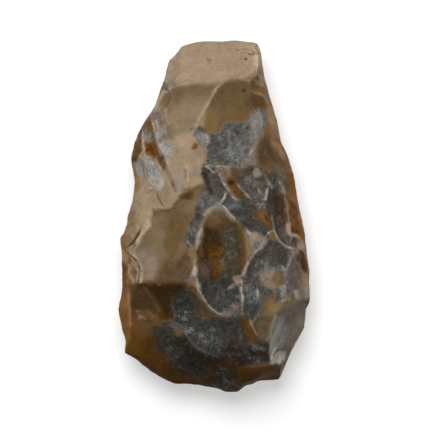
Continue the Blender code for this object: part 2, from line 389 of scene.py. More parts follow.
print("carving the relief")
points = points + normals * addRelief()[:, None]
points[resting, 2] = 0
points = keepInBox(points)

skin.vertices.foreach_set("co", (points * millimetre + middle).ravel())
skin.update()
skin.shade_smooth()
flint = bpy.data.objects.new("flintScraper", skin)
bpy.context.scene.collection.objects.link(flint)
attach(flint, "root")
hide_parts("side_scraper")

# each tone's colour, and how grainy the flint is there, or below zero how speckled its stain is
tones = {
    "tan": ((0.29, 0.21, 0.135), 0.1),
    "pink": ((0.33, 0.235, 0.165), 0.25),
    "greyTan": ((0.220, 0.162, 0.100), 0.15),
    "dullBrown": ((0.165, 0.108, 0.056), 0.15),
    "brown": ((0.140, 0.090, 0.041), 0.15),
    "redBrown": ((0.105, 0.056, 0.022), 0.3),
    "mahogany": ((0.075, 0.036, 0.011), 0.1),
    "darkBrown": ((0.042, 0.020, 0.007), 0.15),
    "olive": ((0.128, 0.078, 0.026), 0.2),
    "moss": ((0.070, 0.043, 0.017), 0.3),
    "darkMoss": ((0.050, 0.038, 0.021), 0.4),
    "amber": ((0.084, 0.035, 0.004), -0.05),
    "orange": ((0.24, 0.09, 0.012), -0.5),
    "caramel": ((0.205, 0.092, 0.024), -0.1),
    "ember": ((0.125, 0.050, 0.009), -0.3),
    "rust": ((0.150, 0.062, 0.014), -0.7),
    "darkRust": ((0.068, 0.024, 0.004), -0.6),
    "brick": ((0.170, 0.038, 0.002), -0.6),
    "apricot": ((0.38, 0.23, 0.11), -0.2),
    "peach": ((0.50, 0.36, 0.24), 0.3),
    "ochre": ((0.195, 0.125, 0.050), 0.1),
    "gold": ((0.140, 0.072, 0.015), -0.2),
    "cream": ((0.39, 0.31, 0.22), 0.4),
    "white": ((0.50, 0.45, 0.40), 0.4),
    "mist": ((0.355, 0.335, 0.315), 0.6),
    "paleGrey": ((0.255, 0.235, 0.210), 0.8),
    "dove": ((0.200, 0.152, 0.115), 0.15),
    "smoke": ((0.240, 0.230, 0.208), 0.25),
    "lilac": ((0.155, 0.123, 0.105), 0.8),
    "ash": ((0.115, 0.105, 0.092), 0.8),
    "blueGrey": ((0.100, 0.108, 0.108), 0.9),
    "slate": ((0.080, 0.074, 0.066), 1.0),
    "darkSlate": ((0.044, 0.042, 0.036), 0.9),
    "umber": ((0.068, 0.050, 0.037), 0.7),
    "bark": ((0.036, 0.024, 0.014), 0.5),
    "soot": ((0.022, 0.017, 0.012), 0.4),
}

paint = {
    "seed": 51,
    "under": "dullBrown",
    # the sides and underside: two tones that take turns, lump width, strength and where in the noise
    "hidden": [("dullBrown", "slate", 16.0, 1.0, 0), ("tan", "amber", 23.0, 0.55, 70)],
    "hiddenLumps": (4, 0.3),  # how many times finer the smaller lumps are, and their share
    "hiddenBorder": 0.25,
    "ground": "greyTan",  # under the patches of the upper side
    "waver": [(3.0, 0.5), (1.0, 0.3)],  # lump width and how far it pushes a patch's border
    "waverShifts": (0, 90),
    "sideWaver": [(6.0, 2.0), (2.0, 0.7)],  # the same, added where the stone's side is steep
    "sideWaverShifts": (11, 51),
    "steepFrom": (0.5, 0.2),  # how much the stone faces up where it starts to be steep, and is
    "strokeWaver": 0.3,  # share of the waver that the strokes follow
    "lineReach": 3.0,  # how far from a vein, crack or dot its distance is worked out
    "lineTaper": (0.15, 0.4),  # share of a line over which its ends thin, and how thin they get
    "clusterFades": (1.25, 0.5),  # in radii: no specks, and all of them
}

# tone, softness of the border, strength and outline; later patches lie over earlier ones
paint["patches"] = [
    # the tip's flat face
    ("tan", 1.0, 1.0, [(-16, 57), (17, 57), (16, 45.2), (9, 42.8), (2, 41.6), (-4, 41.2), (-10, 40),
        (-16, 37)]),
    ("pink", 1.2, 0.35, [(-12, 47.6), (-4, 49), (2, 46), (0, 42.6), (-8, 42)]),
    ("pink", 0.7, 0.6, [(-10.4, 53.4), (-8.4, 53), (-8.8, 50.6), (-11.2, 50.4)]),
    # painted light: a lighter pink on the tip's left flank, making up for the shade on that steep face
    ("pink", 0.8, 0.7, [(-15.4, 44), (-13.4, 50), (-10.8, 53.8), (-9.2, 53), (-11, 47), (-12, 42.6),
        (-14.6, 42)]),
    ("cream", 0.6, 0.45, [(-14.6, 46), (-12.8, 49.6), (-12, 49), (-13.2, 45.6)]),
    ("lilac", 0.7, 0.15, [(-14.6, 48.6), (-11.4, 50.4), (-10.6, 49), (-12.6, 47.2), (-13.8, 43.8),
        (-15.4, 43.4)]),
    ("pink", 0.8, 0.5, [(9.6, 54.4), (14.8, 54.4), (14.6, 51), (11.4, 51.2), (9.4, 52.8)]),
    # painted light: pink and peach laid lighter on the tip's right flank, making up for the shade on that
    # steep face
    ("pink", 0.8, 0.8, [(12.2, 50.6), (15.6, 50.4), (17, 44), (16.4, 42.4), (13.4, 44.4)]),
    ("peach", 0.8, 0.45, [(13, 50.6), (15.6, 50.4), (17, 45), (14.8, 45.4), (13.2, 47.4)]),
    ("tan", 0.4, 0.9, [(-16.2, 37.7), (-14.4, 39), (-12.4, 40.1), (-10, 40.9), (-7.6, 41.4), (-8, 43.4),
        (-13, 44), (-16, 42)]),
    ("lilac", 0.7, 0.4, [(-14.8, 42.8), (-12, 42.6), (-11.8, 39.8), (-14, 38.6), (-14.8, 40.2)]),
    ("redBrown", 0.5, 0.6, [(-16.4, 42), (-15, 41.8), (-14.8, 39.6), (-15.8, 39), (-16.8, 39.6)]),
    ("cream", 0.4, 0.6, [(-16, 38.6), (-14.6, 38.6), (-14.4, 37.6), (-15.8, 37.4)]),
    ("mist", 0.7, 0.35, [(-19.4, 33), (-17, 33.4), (-16.4, 29), (-18.6, 28.6)]),
    ("brown", 0.9, 0.8, [(-16.4, 37.2), (-13.8, 38.2), (-12, 37.8), (-12, 35.6), (-14, 33.2), (-16.2, 34.2)]),
    # the two bowls under it
    ("dullBrown", 2.0, 0.9, [(-13, 39), (-10, 40.6), (-4, 41.6), (0.4, 41.6), (0, 38.6), (-3, 37), (-7, 37),
        (-11, 35), (-13.4, 33.4)]),
    ("brown", 1.0, 0.45, [(-12.4, 38), (-10.4, 38.2), (-9.6, 36.4), (-11, 35.2), (-12.6, 35.8)]),
    ("dullBrown", 1.0, 0.6, [(-16.2, 36), (-14, 36), (-13.6, 30), (-12.6, 25), (-14, 24), (-16, 29)]),
    ("brown", 0.9, 1.0, [(1.4, 41), (4, 42.2), (8.6, 42.8), (11.4, 41.6), (12, 39.4), (15.8, 37.8),
        (17.4, 34.8), (16.8, 31), (13, 29.6), (9.6, 29.2), (4, 28.6), (1.5, 26), (-1.4, 25.6), (-2.9, 27),
        (-2.6, 31), (-1.2, 35), (-0.2, 38)]),
    ("darkBrown", 1.0, 0.15, [(7.8, 41.4), (10.4, 41), (11, 38.4), (10, 37.2), (8.2, 37.8)]),
    ("redBrown", 1.4, 1.0, [(11, 38), (15.2, 37.2), (17.2, 34.6), (15.4, 32.2), (12, 33), (9.6, 35)]),
    ("gold", 1.4, 0.35, [(3, 31), (7, 32.4), (11.6, 31.6), (10.4, 29.4), (5, 28.6)]),
    ("ochre", 1.0, 0.8, [(-2.6, 33), (0.6, 33), (1.8, 29), (0.6, 26.4), (-2.4, 26)]),
    ("caramel", 0.8, 0.4, [(-2.7, 28.6), (-0.8, 28.6), (0.6, 26.4), (-0.8, 25.6), (-2.9, 26.2)]),
    ("tan", 0.6, 0.6, [(-5.2, 28.4), (-3.4, 29.4), (-2.9, 27), (-3.8, 26)]),
    ("dullBrown", 1.2, 0.35, [(2, 40.6), (5, 40.6), (3, 36), (1, 33), (-1.4, 30), (-2.4, 31.6), (-0.6, 35)]),
    ("brown", 1.4, 0.45, [(6, 41.6), (11, 41.4), (11.4, 38.4), (7, 38)]),
    ("redBrown", 1.4, 0.25, [(8, 34), (12, 34), (12, 30.4), (8, 30.4)]),
    ("slate", 0.5, 1.0, [(-7, 26.6), (-6.6, 24.6), (-5.6, 23.2), (-3.6, 22.8), (-1.8, 21.2), (-2.3, 18.6),
        (-2.1, 16.4), (0, 15.4), (5, 15.1), (9, 15.9), (10, 17.6), (11.6, 20), (13.2, 22.4), (15, 25.2),
        (16.2, 27.8), (16.6, 30), (15.4, 32.4), (13.4, 33.4), (11.6, 31.6), (10.8, 29.8), (8, 28.6),
        (4.8, 28.7), (3.2, 28), (2.2, 26.2), (0.6, 25.4), (-2, 25.7), (-4, 27.6), (-5.6, 28)]),
    ("lilac", 1.0, 0.9, [(11, 31), (13.4, 33.2), (15.6, 32), (16.6, 29.4), (15.2, 25.4), (12.6, 22),
        (11, 23), (11.6, 26.4), (10.6, 28.6)]),
    ("smoke", 1.2, 0.45, [(11.4, 30), (13.4, 32.6), (15.6, 31), (16.2, 28.6), (14.6, 25.4), (12.6, 23.4),
        (11.8, 26.4)]),
    ("smoke", 1.6, 0.25, [(6.4, 23), (10.6, 23), (11.4, 20.4), (9.8, 17.6), (7, 17.6)]),
    ("lilac", 1.2, 0.3, [(6.4, 23), (9.6, 22), (9.8, 18.4), (7, 18.2)]),
    ("blueGrey", 0.5, 0.8, [(-6.8, 26.6), (-5, 26), (-4.2, 23.4), (-5.8, 23.4)]),
    ("darkSlate", 1.2, 0.6, [(0.6, 25.2), (3.2, 25), (3.6, 21.6), (0.4, 20.6), (-1, 22.4)]),
    ("paleGrey", 0.6, 0.75, [(-5, 25), (-3, 25.8), (-0.9, 24.6), (-1.4, 22.5), (-4, 22.6)]),
    ("white", 0.6, 0.25, [(-4.2, 24.6), (-2.8, 25.2), (-1.4, 24.3), (-1.9, 23), (-3.6, 23)]),
    ("lilac", 1.2, 0.8, [(10, 17.4), (12, 20.4), (13.4, 22.6), (13.9, 19), (13.5, 15.8), (11, 15.2),
        (9.4, 15.6)]),
    # the right side
    ("dullBrown", 0.7, 0.95, [(9.6, 42.9), (15.4, 45.2), (16, 42.4), (17.2, 40), (18, 36.6), (15.8, 37.2),
        (12.8, 38), (11.2, 39), (10.9, 41)]),
    ("lilac", 0.5, 0.4, [(11.8, 42.4), (14.6, 43), (16, 41), (14.4, 40.1), (12.6, 41)]),
    ("caramel", 0.5, 0.8, [(11.6, 40.8), (13.4, 40.6), (14.2, 38.4), (12.2, 38.6)]),
    ("apricot", 0.4, 0.9, [(13, 42.4), (15.4, 42.4), (16.2, 40.8), (14.6, 40.6)]),
    ("orange", 0.6, 0.5, [(14.6, 40), (16.4, 39.4), (16.8, 37.6), (14.8, 38.2)]),
    ("caramel", 0.6, 1.0, [(16.6, 36.4), (18.2, 36), (20.4, 30), (22, 24), (22.6, 18), (18.6, 18.4),
        (14, 22.4), (15.2, 25.2), (16.8, 28.4), (16.8, 32)]),
    ("apricot", 0.8, 0.35, [(16.4, 36.4), (18, 36), (19.8, 31), (18.8, 27.6), (17, 29), (16.8, 33)]),
    ("pink", 1.0, 0.45, [(16.8, 34.4), (18.6, 34), (21, 27), (20.4, 24.6), (18, 25.4), (17, 29)]),
    ("moss", 0.6, 0.25, [(15.6, 34), (17.4, 33.6), (17.8, 30.6), (16.8, 30.6)]),
    ("redBrown", 0.8, 0.2, [(16.8, 29), (19.4, 30.6), (20.4, 25.6), (18.4, 24.6)]),
    ("redBrown", 1.6, 0.4, [(14.4, 25), (17.2, 25.2), (17.6, 22.2), (14, 22)]),
    ("apricot", 0.6, 0.5, [(17.6, 23.2), (19.4, 23.4), (21.4, 19.8), (22.4, 17.8), (20, 18), (18, 20)]),
    ("mahogany", 1.8, 0.95, [(14, 23), (17.4, 24.4), (18.6, 20.4), (20.6, 18.2), (23.4, 17.4), (24.4, 12.4),
        (21, 12), (17, 13.4), (13.6, 15)]),
    ("dullBrown", 1.6, 0.4, [(17, 16.6), (21, 16), (23.6, 14.6), (23.6, 12.6), (18, 13)]),
    ("pink", 0.5, 0.3, [(17.8, 23.7), (19.6, 23.5), (20.8, 21), (22.2, 18.4), (20.6, 18), (18.5, 20.2)]),
    ("umber", 1.2, 0.35, [(14, 24.4), (16.6, 24.8), (17, 20), (16.4, 16), (14, 16.6)]),
    ("darkBrown", 1.0, 0.35, [(13.8, 21), (14.6, 20), (15.4, 16.6), (14.8, 15.4), (13.7, 16)]),
    ("caramel", 0.6, 0.8, [(22.4, 18), (23.6, 17.6), (25.6, 12.6), (24, 12.4), (22.6, 15.6)]),
    # the plates of the left side
    ("tan", 0.9, 0.9, [(-12, 24.4), (-8, 25.4), (-4.6, 23), (-2.8, 18), (-3.4, 12), (-4.6, 9.6), (-8, 10),
        (-9.4, 14), (-12, 19)]),
    ("pink", 1.2, 0.5, [(-11.4, 24.6), (-7.4, 26), (-6.4, 23.6), (-8, 21), (-11, 21)]),
    ("lilac", 1.0, 0.8, [(-18.6, 33.4), (-16.6, 33), (-16, 28), (-14.6, 24), (-12.4, 20.6), (-12.6, 16.4),
        (-15.4, 16.4), (-17.2, 20.6), (-19.6, 28), (-20.4, 31.4)]),
    ("ash", 0.6, 0.2, [(-18, 31), (-16.6, 30.4), (-15.6, 26), (-14.2, 23.2), (-15.8, 22.6), (-17, 26)]),
    ("mist", 1.1, 0.65, [(-16.8, 22.6), (-14.6, 23.2), (-12.6, 22.2), (-12, 20), (-12.6, 17.4),
        (-14.2, 16.6), (-15.4, 18.6), (-16.4, 20.6)]),
    ("blueGrey", 0.7, 0.3, [(-14.6, 22.6), (-11.4, 21.8), (-11.4, 20.4), (-14.2, 20.6)]),
    ("tan", 0.7, 0.9, [(-23.8, 22), (-21.4, 25), (-18.6, 22), (-16.6, 18), (-13.6, 10), (-11.4, 6.6),
        (-12.6, 3), (-16, 1.8), (-19.4, 2.2), (-21, -2.6), (-24.6, -9), (-27.6, -9.8), (-29, -7),
        (-26.6, -3), (-27.4, 1), (-25, 6), (-25.4, 14)]),
    ("redBrown", 0.5, 0.8, [(-22.6, 29.4), (-20.4, 31), (-19, 29), (-18.2, 24.6), (-17.4, 21), (-19.4, 22),
        (-22.2, 23.4), (-23.6, 24.6)]),
    ("mist", 0.4, 0.5, [(-21.9, 26.3), (-20.4, 26.6), (-19.4, 25), (-19.5, 23.2), (-21, 22.8),
        (-21.8, 23.6)]),
    ("lilac", 0.5, 0.6, [(-21.9, 26.3), (-20.4, 26.6), (-19.4, 25), (-19.5, 23.2), (-21, 22.8),
        (-21.8, 23.6)]),
    ("redBrown", 0.35, 0.7, [(-19.3, 28.4), (-18.6, 28), (-18, 25), (-17.6, 22.6), (-18.7, 22.6),
        (-19.1, 25)]),
    ("ash", 0.5, 0.1, [(-21.2, 25.4), (-20, 25.4), (-19.8, 23.4), (-20.8, 23.4)]),
    ("rust", 0.4, 0.8, [(-22.2, 27.2), (-21, 29.2), (-19.5, 29.6), (-18.8, 27.6), (-19.6, 27), (-21, 26.8)]),
    ("rust", 0.4, 0.8, [(-19, 22.6), (-17.9, 24.6), (-17.4, 22.4), (-16.8, 20.6), (-18, 20.6)]),
    ("rust", 0.4, 1.0, [(-26, 20.4), (-24.7, 22.4), (-23.5, 23.9), (-22.6, 23.2), (-22.5, 20.4), (-23.3, 19),
        (-24.4, 17.2), (-26, 17)]),
    ("darkRust", 0.4, 0.6, [(-25.6, 20.6), (-24.4, 22), (-23, 22), (-22.8, 20), (-24, 18.6), (-25.4, 17.8)]),
    ("darkMoss", 0.35, 0.8, [(-24.8, 20.9), (-23.6, 21.6), (-22.9, 20.8), (-23.4, 19.4), (-24.6, 19)]),
    ("rust", 0.5, 1.0, [(-22.2, 22.4), (-20.4, 22.9), (-19, 22), (-18, 20.2), (-17.6, 18.4), (-18.4, 18),
        (-19.4, 18.6), (-21.6, 18.8)]),
    ("darkRust", 0.5, 0.7, [(-21.6, 21.6), (-20.2, 22.2), (-18.6, 21), (-18, 19.2), (-20.4, 19.4)]),
    ("rust", 0.3, 0.8, [(-18.6, 21), (-17.6, 21), (-17.3, 19.8), (-18.4, 19.8)]),
    ("darkRust", 0.3, 0.9, [(-17.2, 18.6), (-16.3, 18.4), (-16.2, 17), (-17, 17.2)]),
    ("rust", 0.4, 0.8, [(-10.3, 6.1), (-8.6, 7.2), (-6.6, 7.3), (-6.3, 5.6), (-8, 4.9)]),
    ("rust", 0.3, 0.8, [(-15.9, 16.2), (-15.2, 16), (-15, 14.8), (-15.7, 14.8)]),
    ("redBrown", 0.5, 0.6, [(-17.4, 18.6), (-16, 18.4), (-15, 15.6), (-15.6, 14), (-16.6, 16)]),
    ("cream", 0.3, 0.6, [(-22.5, 24.8), (-21.7, 24.6), (-21.4, 20.4), (-21.8, 19.4), (-22.3, 21)]),
    ("mist", 0.35, 0.9, [(-24.6, 16.4), (-23.4, 17.5), (-22.3, 17), (-22, 14.6), (-22.6, 12.8), (-24, 13.4)]),
    ("mist", 0.4, 0.8, [(-20.8, 17.3), (-19.4, 17.8), (-17.8, 16.3), (-16.5, 13), (-15.5, 10.4),
        (-16.2, 8.9), (-18.4, 8.8), (-19.6, 10.6), (-20.7, 13)]),
    ("rust", 0.3, 0.8, [(-18, 20.4), (-17, 20.2), (-16.8, 18.8), (-17.8, 19)]),
    ("redBrown", 0.35, 0.7, [(-17.2, 18.6), (-15.9, 18), (-14.4, 15.6), (-13.8, 13.9), (-14.6, 13.9),
        (-16, 15.6)]),
    ("darkRust", 0.25, 0.9, [(-16.3, 19.3), (-15.6, 19), (-15.7, 18.1), (-16.3, 18.3)]),
    ("darkRust", 0.25, 0.9, [(-16.7, 17.2), (-16.1, 17), (-16.1, 16.4), (-16.7, 16.5)]),
    ("darkBrown", 0.25, 0.9, [(-14.9, 15), (-14.1, 14.6), (-14.1, 13.8), (-14.8, 14.2)]),
    ("cream", 0.2, 0.9, [(-16.6, 15.4), (-15.7, 15), (-15.8, 14.4), (-16.6, 14.6)]),
    ("blueGrey", 0.7, 0.3, [(-22.4, 16.6), (-19.6, 16), (-17.6, 12), (-17, 9.4), (-19, 10.6), (-21.6, 13)]),
    ("white", 0.4, 0.15, [(-19.4, 9.6), (-17.4, 8.9), (-16, 9.4), (-16.6, 10.2), (-18.6, 10.4)]),
    ("orange", 0.7, 0.5, [(-25.6, 15), (-23.6, 13), (-22.8, 9), (-24.6, 7.4), (-25.6, 11)]),
    ("ochre", 0.9, 0.4, [(-26.6, 1.4), (-24.2, 1.8), (-23.8, -2.6), (-26.4, -3)]),
    ("gold", 0.6, 0.5, [(-27.2, 1), (-25.4, 2), (-24.8, -1), (-25.8, -3.6), (-27.4, -3)]),
    ("tan", 0.5, 1.0, [(-14.8, 18.4), (-12.2, 20.6), (-9.8, 18), (-8.9, 14), (-9, 10), (-10, 7.6),
        (-11.2, 7.2), (-12.8, 10.4), (-14.2, 14)]),
    ("smoke", 0.8, 0.7, [(-11.8, 13.2), (-10.2, 13), (-9.4, 10.2), (-10.2, 7.6), (-11.2, 7.9),
        (-11.8, 10.4)]),
    ("orange", 0.35, 0.7, [(-9.5, 17), (-8.7, 16.6), (-8.8, 14.6), (-9.3, 14.8)]),
    ("orange", 0.3, 0.8, [(-9.5, 12.2), (-8.8, 12), (-8.3, 9), (-9.2, 8.6), (-9, 10.6)]),
    ("peach", 0.5, 0.45, [(-9.6, 17.4), (-8.2, 16.6), (-7.8, 12), (-8.3, 9), (-9.4, 9.8), (-9, 13)]),
    ("rust", 0.35, 0.9, [(-6.8, 21), (-5.8, 22.8), (-5.1, 21.6), (-5.8, 20.8)]),
    ("rust", 0.3, 0.6, [(-9.2, 14.4), (-8.5, 14.2), (-8.4, 12.4), (-9, 12.2)]),
    ("greyTan", 1.2, 0.35, [(-19, 6.6), (-14.4, 7.4), (-13.2, 3.6), (-17.6, 2.8)]),
    ("brown", 0.6, 1.0, [(-10.4, 6.2), (-8, 8.6), (-5, 9.8), (-3.4, 9.6), (-3.8, 6.6), (-6, 4), (-9.4, 4.6)]),
    ("darkRust", 0.4, 0.7, [(-10.3, 6.1), (-8.6, 7.2), (-6.6, 7.3), (-6.3, 5.6), (-8, 4.9)]),
    ("darkBrown", 0.5, 0.2, [(-9.8, 6.2), (-7.8, 6.9), (-7, 5.7), (-9.2, 5)]),
    # the left hollow
    ("dullBrown", 0.6, 1.0, [(-19, 1.8), (-14, 1.9), (-10.4, 5), (-6.4, 4), (-5.2, 0), (-6.4, -6), (-8, -10),
        (-7.4, -21), (-23, -21), (-24.6, -14), (-24.6, -9.6), (-21, -3)]),
    ("brown", 0.7, 0.7, [(-19, 1.6), (-12.6, 1.9), (-10, 5), (-9, 3), (-11, 0.2), (-15, 0.2), (-18.8, -0.4)]),
    ("greyTan", 2.0, 0.6, [(-18.6, -1), (-15.6, -2), (-15.4, -9), (-17.4, -10), (-20.4, -5)]),
    ("dove", 2.0, 0.9, [(-24, -10), (-19, -9.4), (-17.2, -14), (-17.4, -19), (-22, -20), (-23, -16)]),
    ("tan", 1.2, 0.5, [(-21, -14), (-18.4, -13), (-17.4, -18), (-20.4, -20.4)]),
    ("olive", 1.2, 0.8, [(-12.6, 0), (-10, -1), (-8.8, -4), (-9.4, -7), (-12, -12), (-15, -11), (-15, -6),
        (-13.6, -3)]),
    ("brown", 1.0, 0.6, [(-10, 1), (-7.6, 0), (-8, -6), (-9.2, -6), (-9.6, -2)]),
    ("redBrown", 2.0, 0.9, [(-15.6, -14.6), (-10.4, -11), (-7.4, -12), (-7, -16), (-7.4, -21), (-17.4, -21)]),
    ("umber", 1.6, 0.45, [(-13.6, -16), (-9.4, -13), (-7.2, -14), (-7, -21), (-15, -21)]),
    ("greyTan", 0.8, 0.35, [(-12.6, -13.6), (-11.6, -11), (-10, -9), (-10.4, -13)]),
    ("cream", 0.5, 0.8, [(-19.8, 2.2), (-18.8, 1.4), (-19.6, -3), (-23.6, -8.6), (-25.6, -9.6), (-22, -4.6),
        (-20.4, -1)]),
    ("peach", 0.6, 0.5, [(-20.6, -1), (-20, -2.6), (-23, -7.4), (-25, -9), (-22.6, -5)]),
    ("dullBrown", 0.6, 0.6, [(-22.6, -8), (-20.6, -4.4), (-19.8, -5), (-21.6, -8.8), (-24.6, -10.6)]),
    # the left margin
    ("tan", 0.6, 0.8, [(-28.6, -9), (-25, -10.4), (-23.6, -14), (-22, -18), (-22.4, -21.2), (-27, -21.4),
        (-27.4, -14)]),
    ("caramel", 0.5, 0.7, [(-28.8, -6), (-26.4, -5.4), (-24.8, -7.4), (-27.4, -9.4), (-28.8, -9)]),
    ("pink", 0.4, 0.7, [(-26.6, -14.6), (-24.6, -14.8), (-23.6, -17.6), (-24, -21), (-26.6, -20.6)]),
    ("caramel", 0.35, 0.8, [(-26.2, -16.4), (-24.4, -16.8), (-24.4, -19), (-26, -19)]),
    ("cream", 0.4, 0.7, [(-24, -18.6), (-22.2, -19), (-22, -21.4), (-23.6, -21.6)]),
    ("orange", 0.4, 0.85, [(-28.2, -9.4), (-27, -10), (-26.4, -15), (-26.4, -22), (-27.4, -22),
        (-27.4, -15)]),
    ("brick", 0.4, 0.95, [(-30, -14.4), (-28, -14.6), (-27, -16.4), (-27.2, -20.6), (-28, -21.8),
        (-30, -21.6)]),
    ("darkRust", 0.4, 0.35, [(-28.6, -17), (-27.6, -17), (-27.6, -20.8), (-28.6, -20.8)]),
    ("orange", 0.5, 1.0, [(-27.4, -19.4), (-26.2, -19.6), (-26, -22.8), (-27.4, -22.6)]),
    ("apricot", 0.5, 0.35, [(-27.2, -19.8), (-26.4, -20), (-26.4, -22), (-27.2, -22)]),
    ("apricot", 0.4, 0.95, [(-28.9, -10.4), (-27.4, -10.8), (-27, -13.4), (-28.8, -13.8)]),
    # the dark middle
    ("umber", 0.6, 1.0, [(-4, 15.2), (0, 15.3), (9, 15.3), (13.6, 15.2), (20, 13.6), (23, 12.4), (23.2, 6),
        (22.4, 2), (22.8, -3), (24.4, -6), (27, -7.2), (25.8, -9.6), (22.4, -9.2), (19, -7.6), (14, -5.6),
        (10.6, -4.8), (6, -0.6), (2.4, 3.2), (-1, 2.8), (-3, 0.6), (-4.6, -4), (-6, -9), (-8.8, -9.2),
        (-8.4, -5), (-6.4, -1), (-5.2, 3), (-4.2, 7), (-3.2, 10)]),
    ("ash", 0.8, 0.75, [(-4.6, 6), (-2.6, 8.4), (-0.6, 6.4), (2, 5), (2.2, 3.6), (-1, 3), (-3.4, 1.6),
        (-5, -1), (-5.6, 2)]),
    ("slate", 0.7, 0.9, [(-5.2, 1), (-4, 0), (-5, -4), (-6.6, -9), (-8.8, -9), (-8, -5), (-6.4, -2)]),
    ("bark", 0.7, 0.75, [(-5.6, 3.4), (-4.2, 2.6), (-4.4, -0.6), (-5.8, -0.6)]),
    ("slate", 0.5, 0.7, [(-2.6, 14.4), (-0.8, 14), (0.8, 12.4), (2.2, 10.4), (3.6, 8), (3.4, 6.4), (2, 5.4),
        (0.4, 6), (-0.6, 7.6), (-1.6, 10.4)]),
    ("bark", 0.5, 0.8, [(-3.6, 14.8), (-2.4, 14.4), (-1.4, 10.4), (-0.2, 7.4), (-1, 6.8), (-2.4, 9),
        (-3.2, 11.6)]),
    ("greyTan", 0.6, 0.75, [(0.4, 15.2), (4.8, 14.9), (5.2, 12.6), (6.2, 11.2), (7.2, 9), (7.4, 7.2),
        (6.2, 6.4), (5.2, 7.2), (4, 8.6), (3, 10.6), (2.2, 12.6)]),
    ("lilac", 0.5, 0.7, [(0.6, 14.6), (2, 14.8), (3.4, 11.4), (4.8, 8.8), (7, 5.8), (6, 5.6), (4.2, 7.6),
        (3, 10), (2, 12.4)]),
    ("redBrown", 0.4, 0.6, [(2.8, 14), (3.8, 13.8), (4.2, 12.2), (3.2, 12.2)]),
    ("darkSlate", 0.6, 0.95, [(2.4, 4), (4, 7.2), (6.6, 5), (10, 4.4), (12.6, 3), (13.6, 1), (12.8, -1.6),
        (10, -3), (7.6, -1.8), (5.2, 0.8), (3.4, 2.8)]),
    ("blueGrey", 0.8, 0.4, [(3.6, 6.2), (6, 4.6), (9, 3.8), (8, 1.6), (4.4, 3.2)]),
    ("darkSlate", 0.8, 0.7, [(8, 2.6), (11.6, 2.8), (13.6, 0.6), (13, -1.6), (10.4, -3.4), (8, -1.4)]),
    ("moss", 0.8, 0.5, [(10.6, 3.6), (12.8, 2.6), (14, 0.4), (12, 0.8)]),
    ("darkSlate", 0.8, 0.6, [(13, -2), (16.4, -3.8), (17.8, -5.6), (14, -5.6), (10.8, -4.4), (10.4, -3)]),
    ("redBrown", 0.8, 0.6, [(5.2, 14.8), (8.8, 14.8), (8.6, 12.4), (6.2, 12)]),
    ("slate", 0.8, 0.7, [(8.6, 11), (12, 11), (15.8, 10.2), (16.2, 7), (15.8, 3), (16.6, 1.6), (14.4, 1.8),
        (12.6, 5.2), (9.6, 8)]),
    ("cream", 0.5, 0.65, [(11.9, 13.4), (12.8, 14.7), (14, 14), (14.6, 12.6), (13, 11.8), (12, 12.2)]),
    ("ash", 0.5, 0.7, [(9.8, 11.4), (11.4, 12.6), (12.4, 11.6), (11, 10.6)]),
    ("paleGrey", 0.35, 0.6, [(13.4, 8.4), (14.2, 8.2), (14.6, 7.2), (13.8, 7.2)]),
    ("bark", 0.5, 0.6, [(16.6, 8), (17.6, 8.2), (18, 4), (17.4, 3.4), (16.8, 5.4)]),
    ("rust", 0.5, 0.9, [(4.1, 10.7), (5.4, 12), (6.8, 10.9), (8.4, 7.8), (8.4, 6.1), (7.2, 5.8), (5.6, 8)]),
    ("rust", 0.35, 0.9, [(4.8, 10.2), (6.2, 10.2), (6.8, 8.6), (8.2, 7), (7.4, 6.2), (5.8, 8.2)]),
    ("ember", 0.4, 0.6, [(4, 10.6), (5.4, 11.6), (6.4, 10.8), (8, 8), (8.2, 6.4), (7, 6), (6, 8.4)]),
    ("darkRust", 0.3, 0.95, [(4.3, 10.2), (5.4, 10.8), (6.3, 10), (5.2, 9.6)]),
    ("white", 0.3, 0.8, [(3.6, 7.5), (3.9, 6.6), (3, 4.4), (2.3, 4.2), (2.9, 5.8)]),
    ("moss", 0.4, 0.7, [(8.2, 6.6), (9.8, 6.9), (10.6, 5.8), (9.2, 5.4)]),
    ("rust", 0.8, 0.45, [(13, 1.6), (15.2, 1.8), (17, 0.4), (18.4, -2), (18, -4), (16, -2.6), (14, -1)]),
    ("rust", 0.4, 0.9, [(14.8, 0.6), (16.6, 0), (17.9, -2), (17.8, -3.6), (16.8, -2.6), (15, -0.8)]),
    ("orange", 0.3, 0.5, [(14.4, 0.8), (15.6, 0.9), (16.4, -0.2), (15.4, -0.9)]),
    ("darkRust", 0.3, 0.9, [(15.9, -0.4), (16.4, -0.2), (17.8, -3), (17.2, -2.8)]),
    ("darkBrown", 0.9, 0.8, [(19, 7), (21, 7), (21.4, 1.4), (19.6, 0.8)]),
    ("lilac", 0.8, 0.5, [(21, -4.6), (22.8, -4.4), (25.6, -7), (25.4, -8.8), (22.8, -8.2)]),
    ("umber", 1.0, 0.6, [(17.8, 13), (21.6, 12.6), (23.2, 10), (22.8, 6), (19, 6), (18, 9)]),
    ("ash", 0.7, 0.25, [(18, 11.4), (20, 11), (21.6, 8), (20.6, 7.6), (18.6, 9)]),
    ("paleGrey", 0.4, 0.9, [(-3.8, 0.6), (-2.6, 2.3), (-0.8, 3.1), (1, 2.9), (-0.6, 1.9), (-2.4, 0.2)]),
    ("pink", 0.4, 0.3, [(-2.6, 1.2), (-1.2, 2), (-1, 0.8), (-2.2, 0.2)]),
    # the right margin
    ("dullBrown", 1.8, 0.6, [(15.4, 14.8), (21, 15.4), (23.8, 13.4), (23.6, 10.4), (20, 11.8), (17, 13)]),
    ("orange", 0.6, 0.95, [(22.8, 13.6), (25.2, 12.6), (26.8, 5), (27.8, -2), (28.8, -8), (26.4, -6),
        (23.6, -2.4), (22.4, 4), (23.2, 9)]),
    ("redBrown", 0.6, 0.6, [(22.8, 12), (23.8, 9), (23.6, 4), (22.4, 4.4), (22.6, 8)]),
    ("darkRust", 0.5, 0.8, [(21.8, 5), (23, 4.4), (23.2, 1), (23.4, -2), (22.2, -2), (21.8, 1)]),
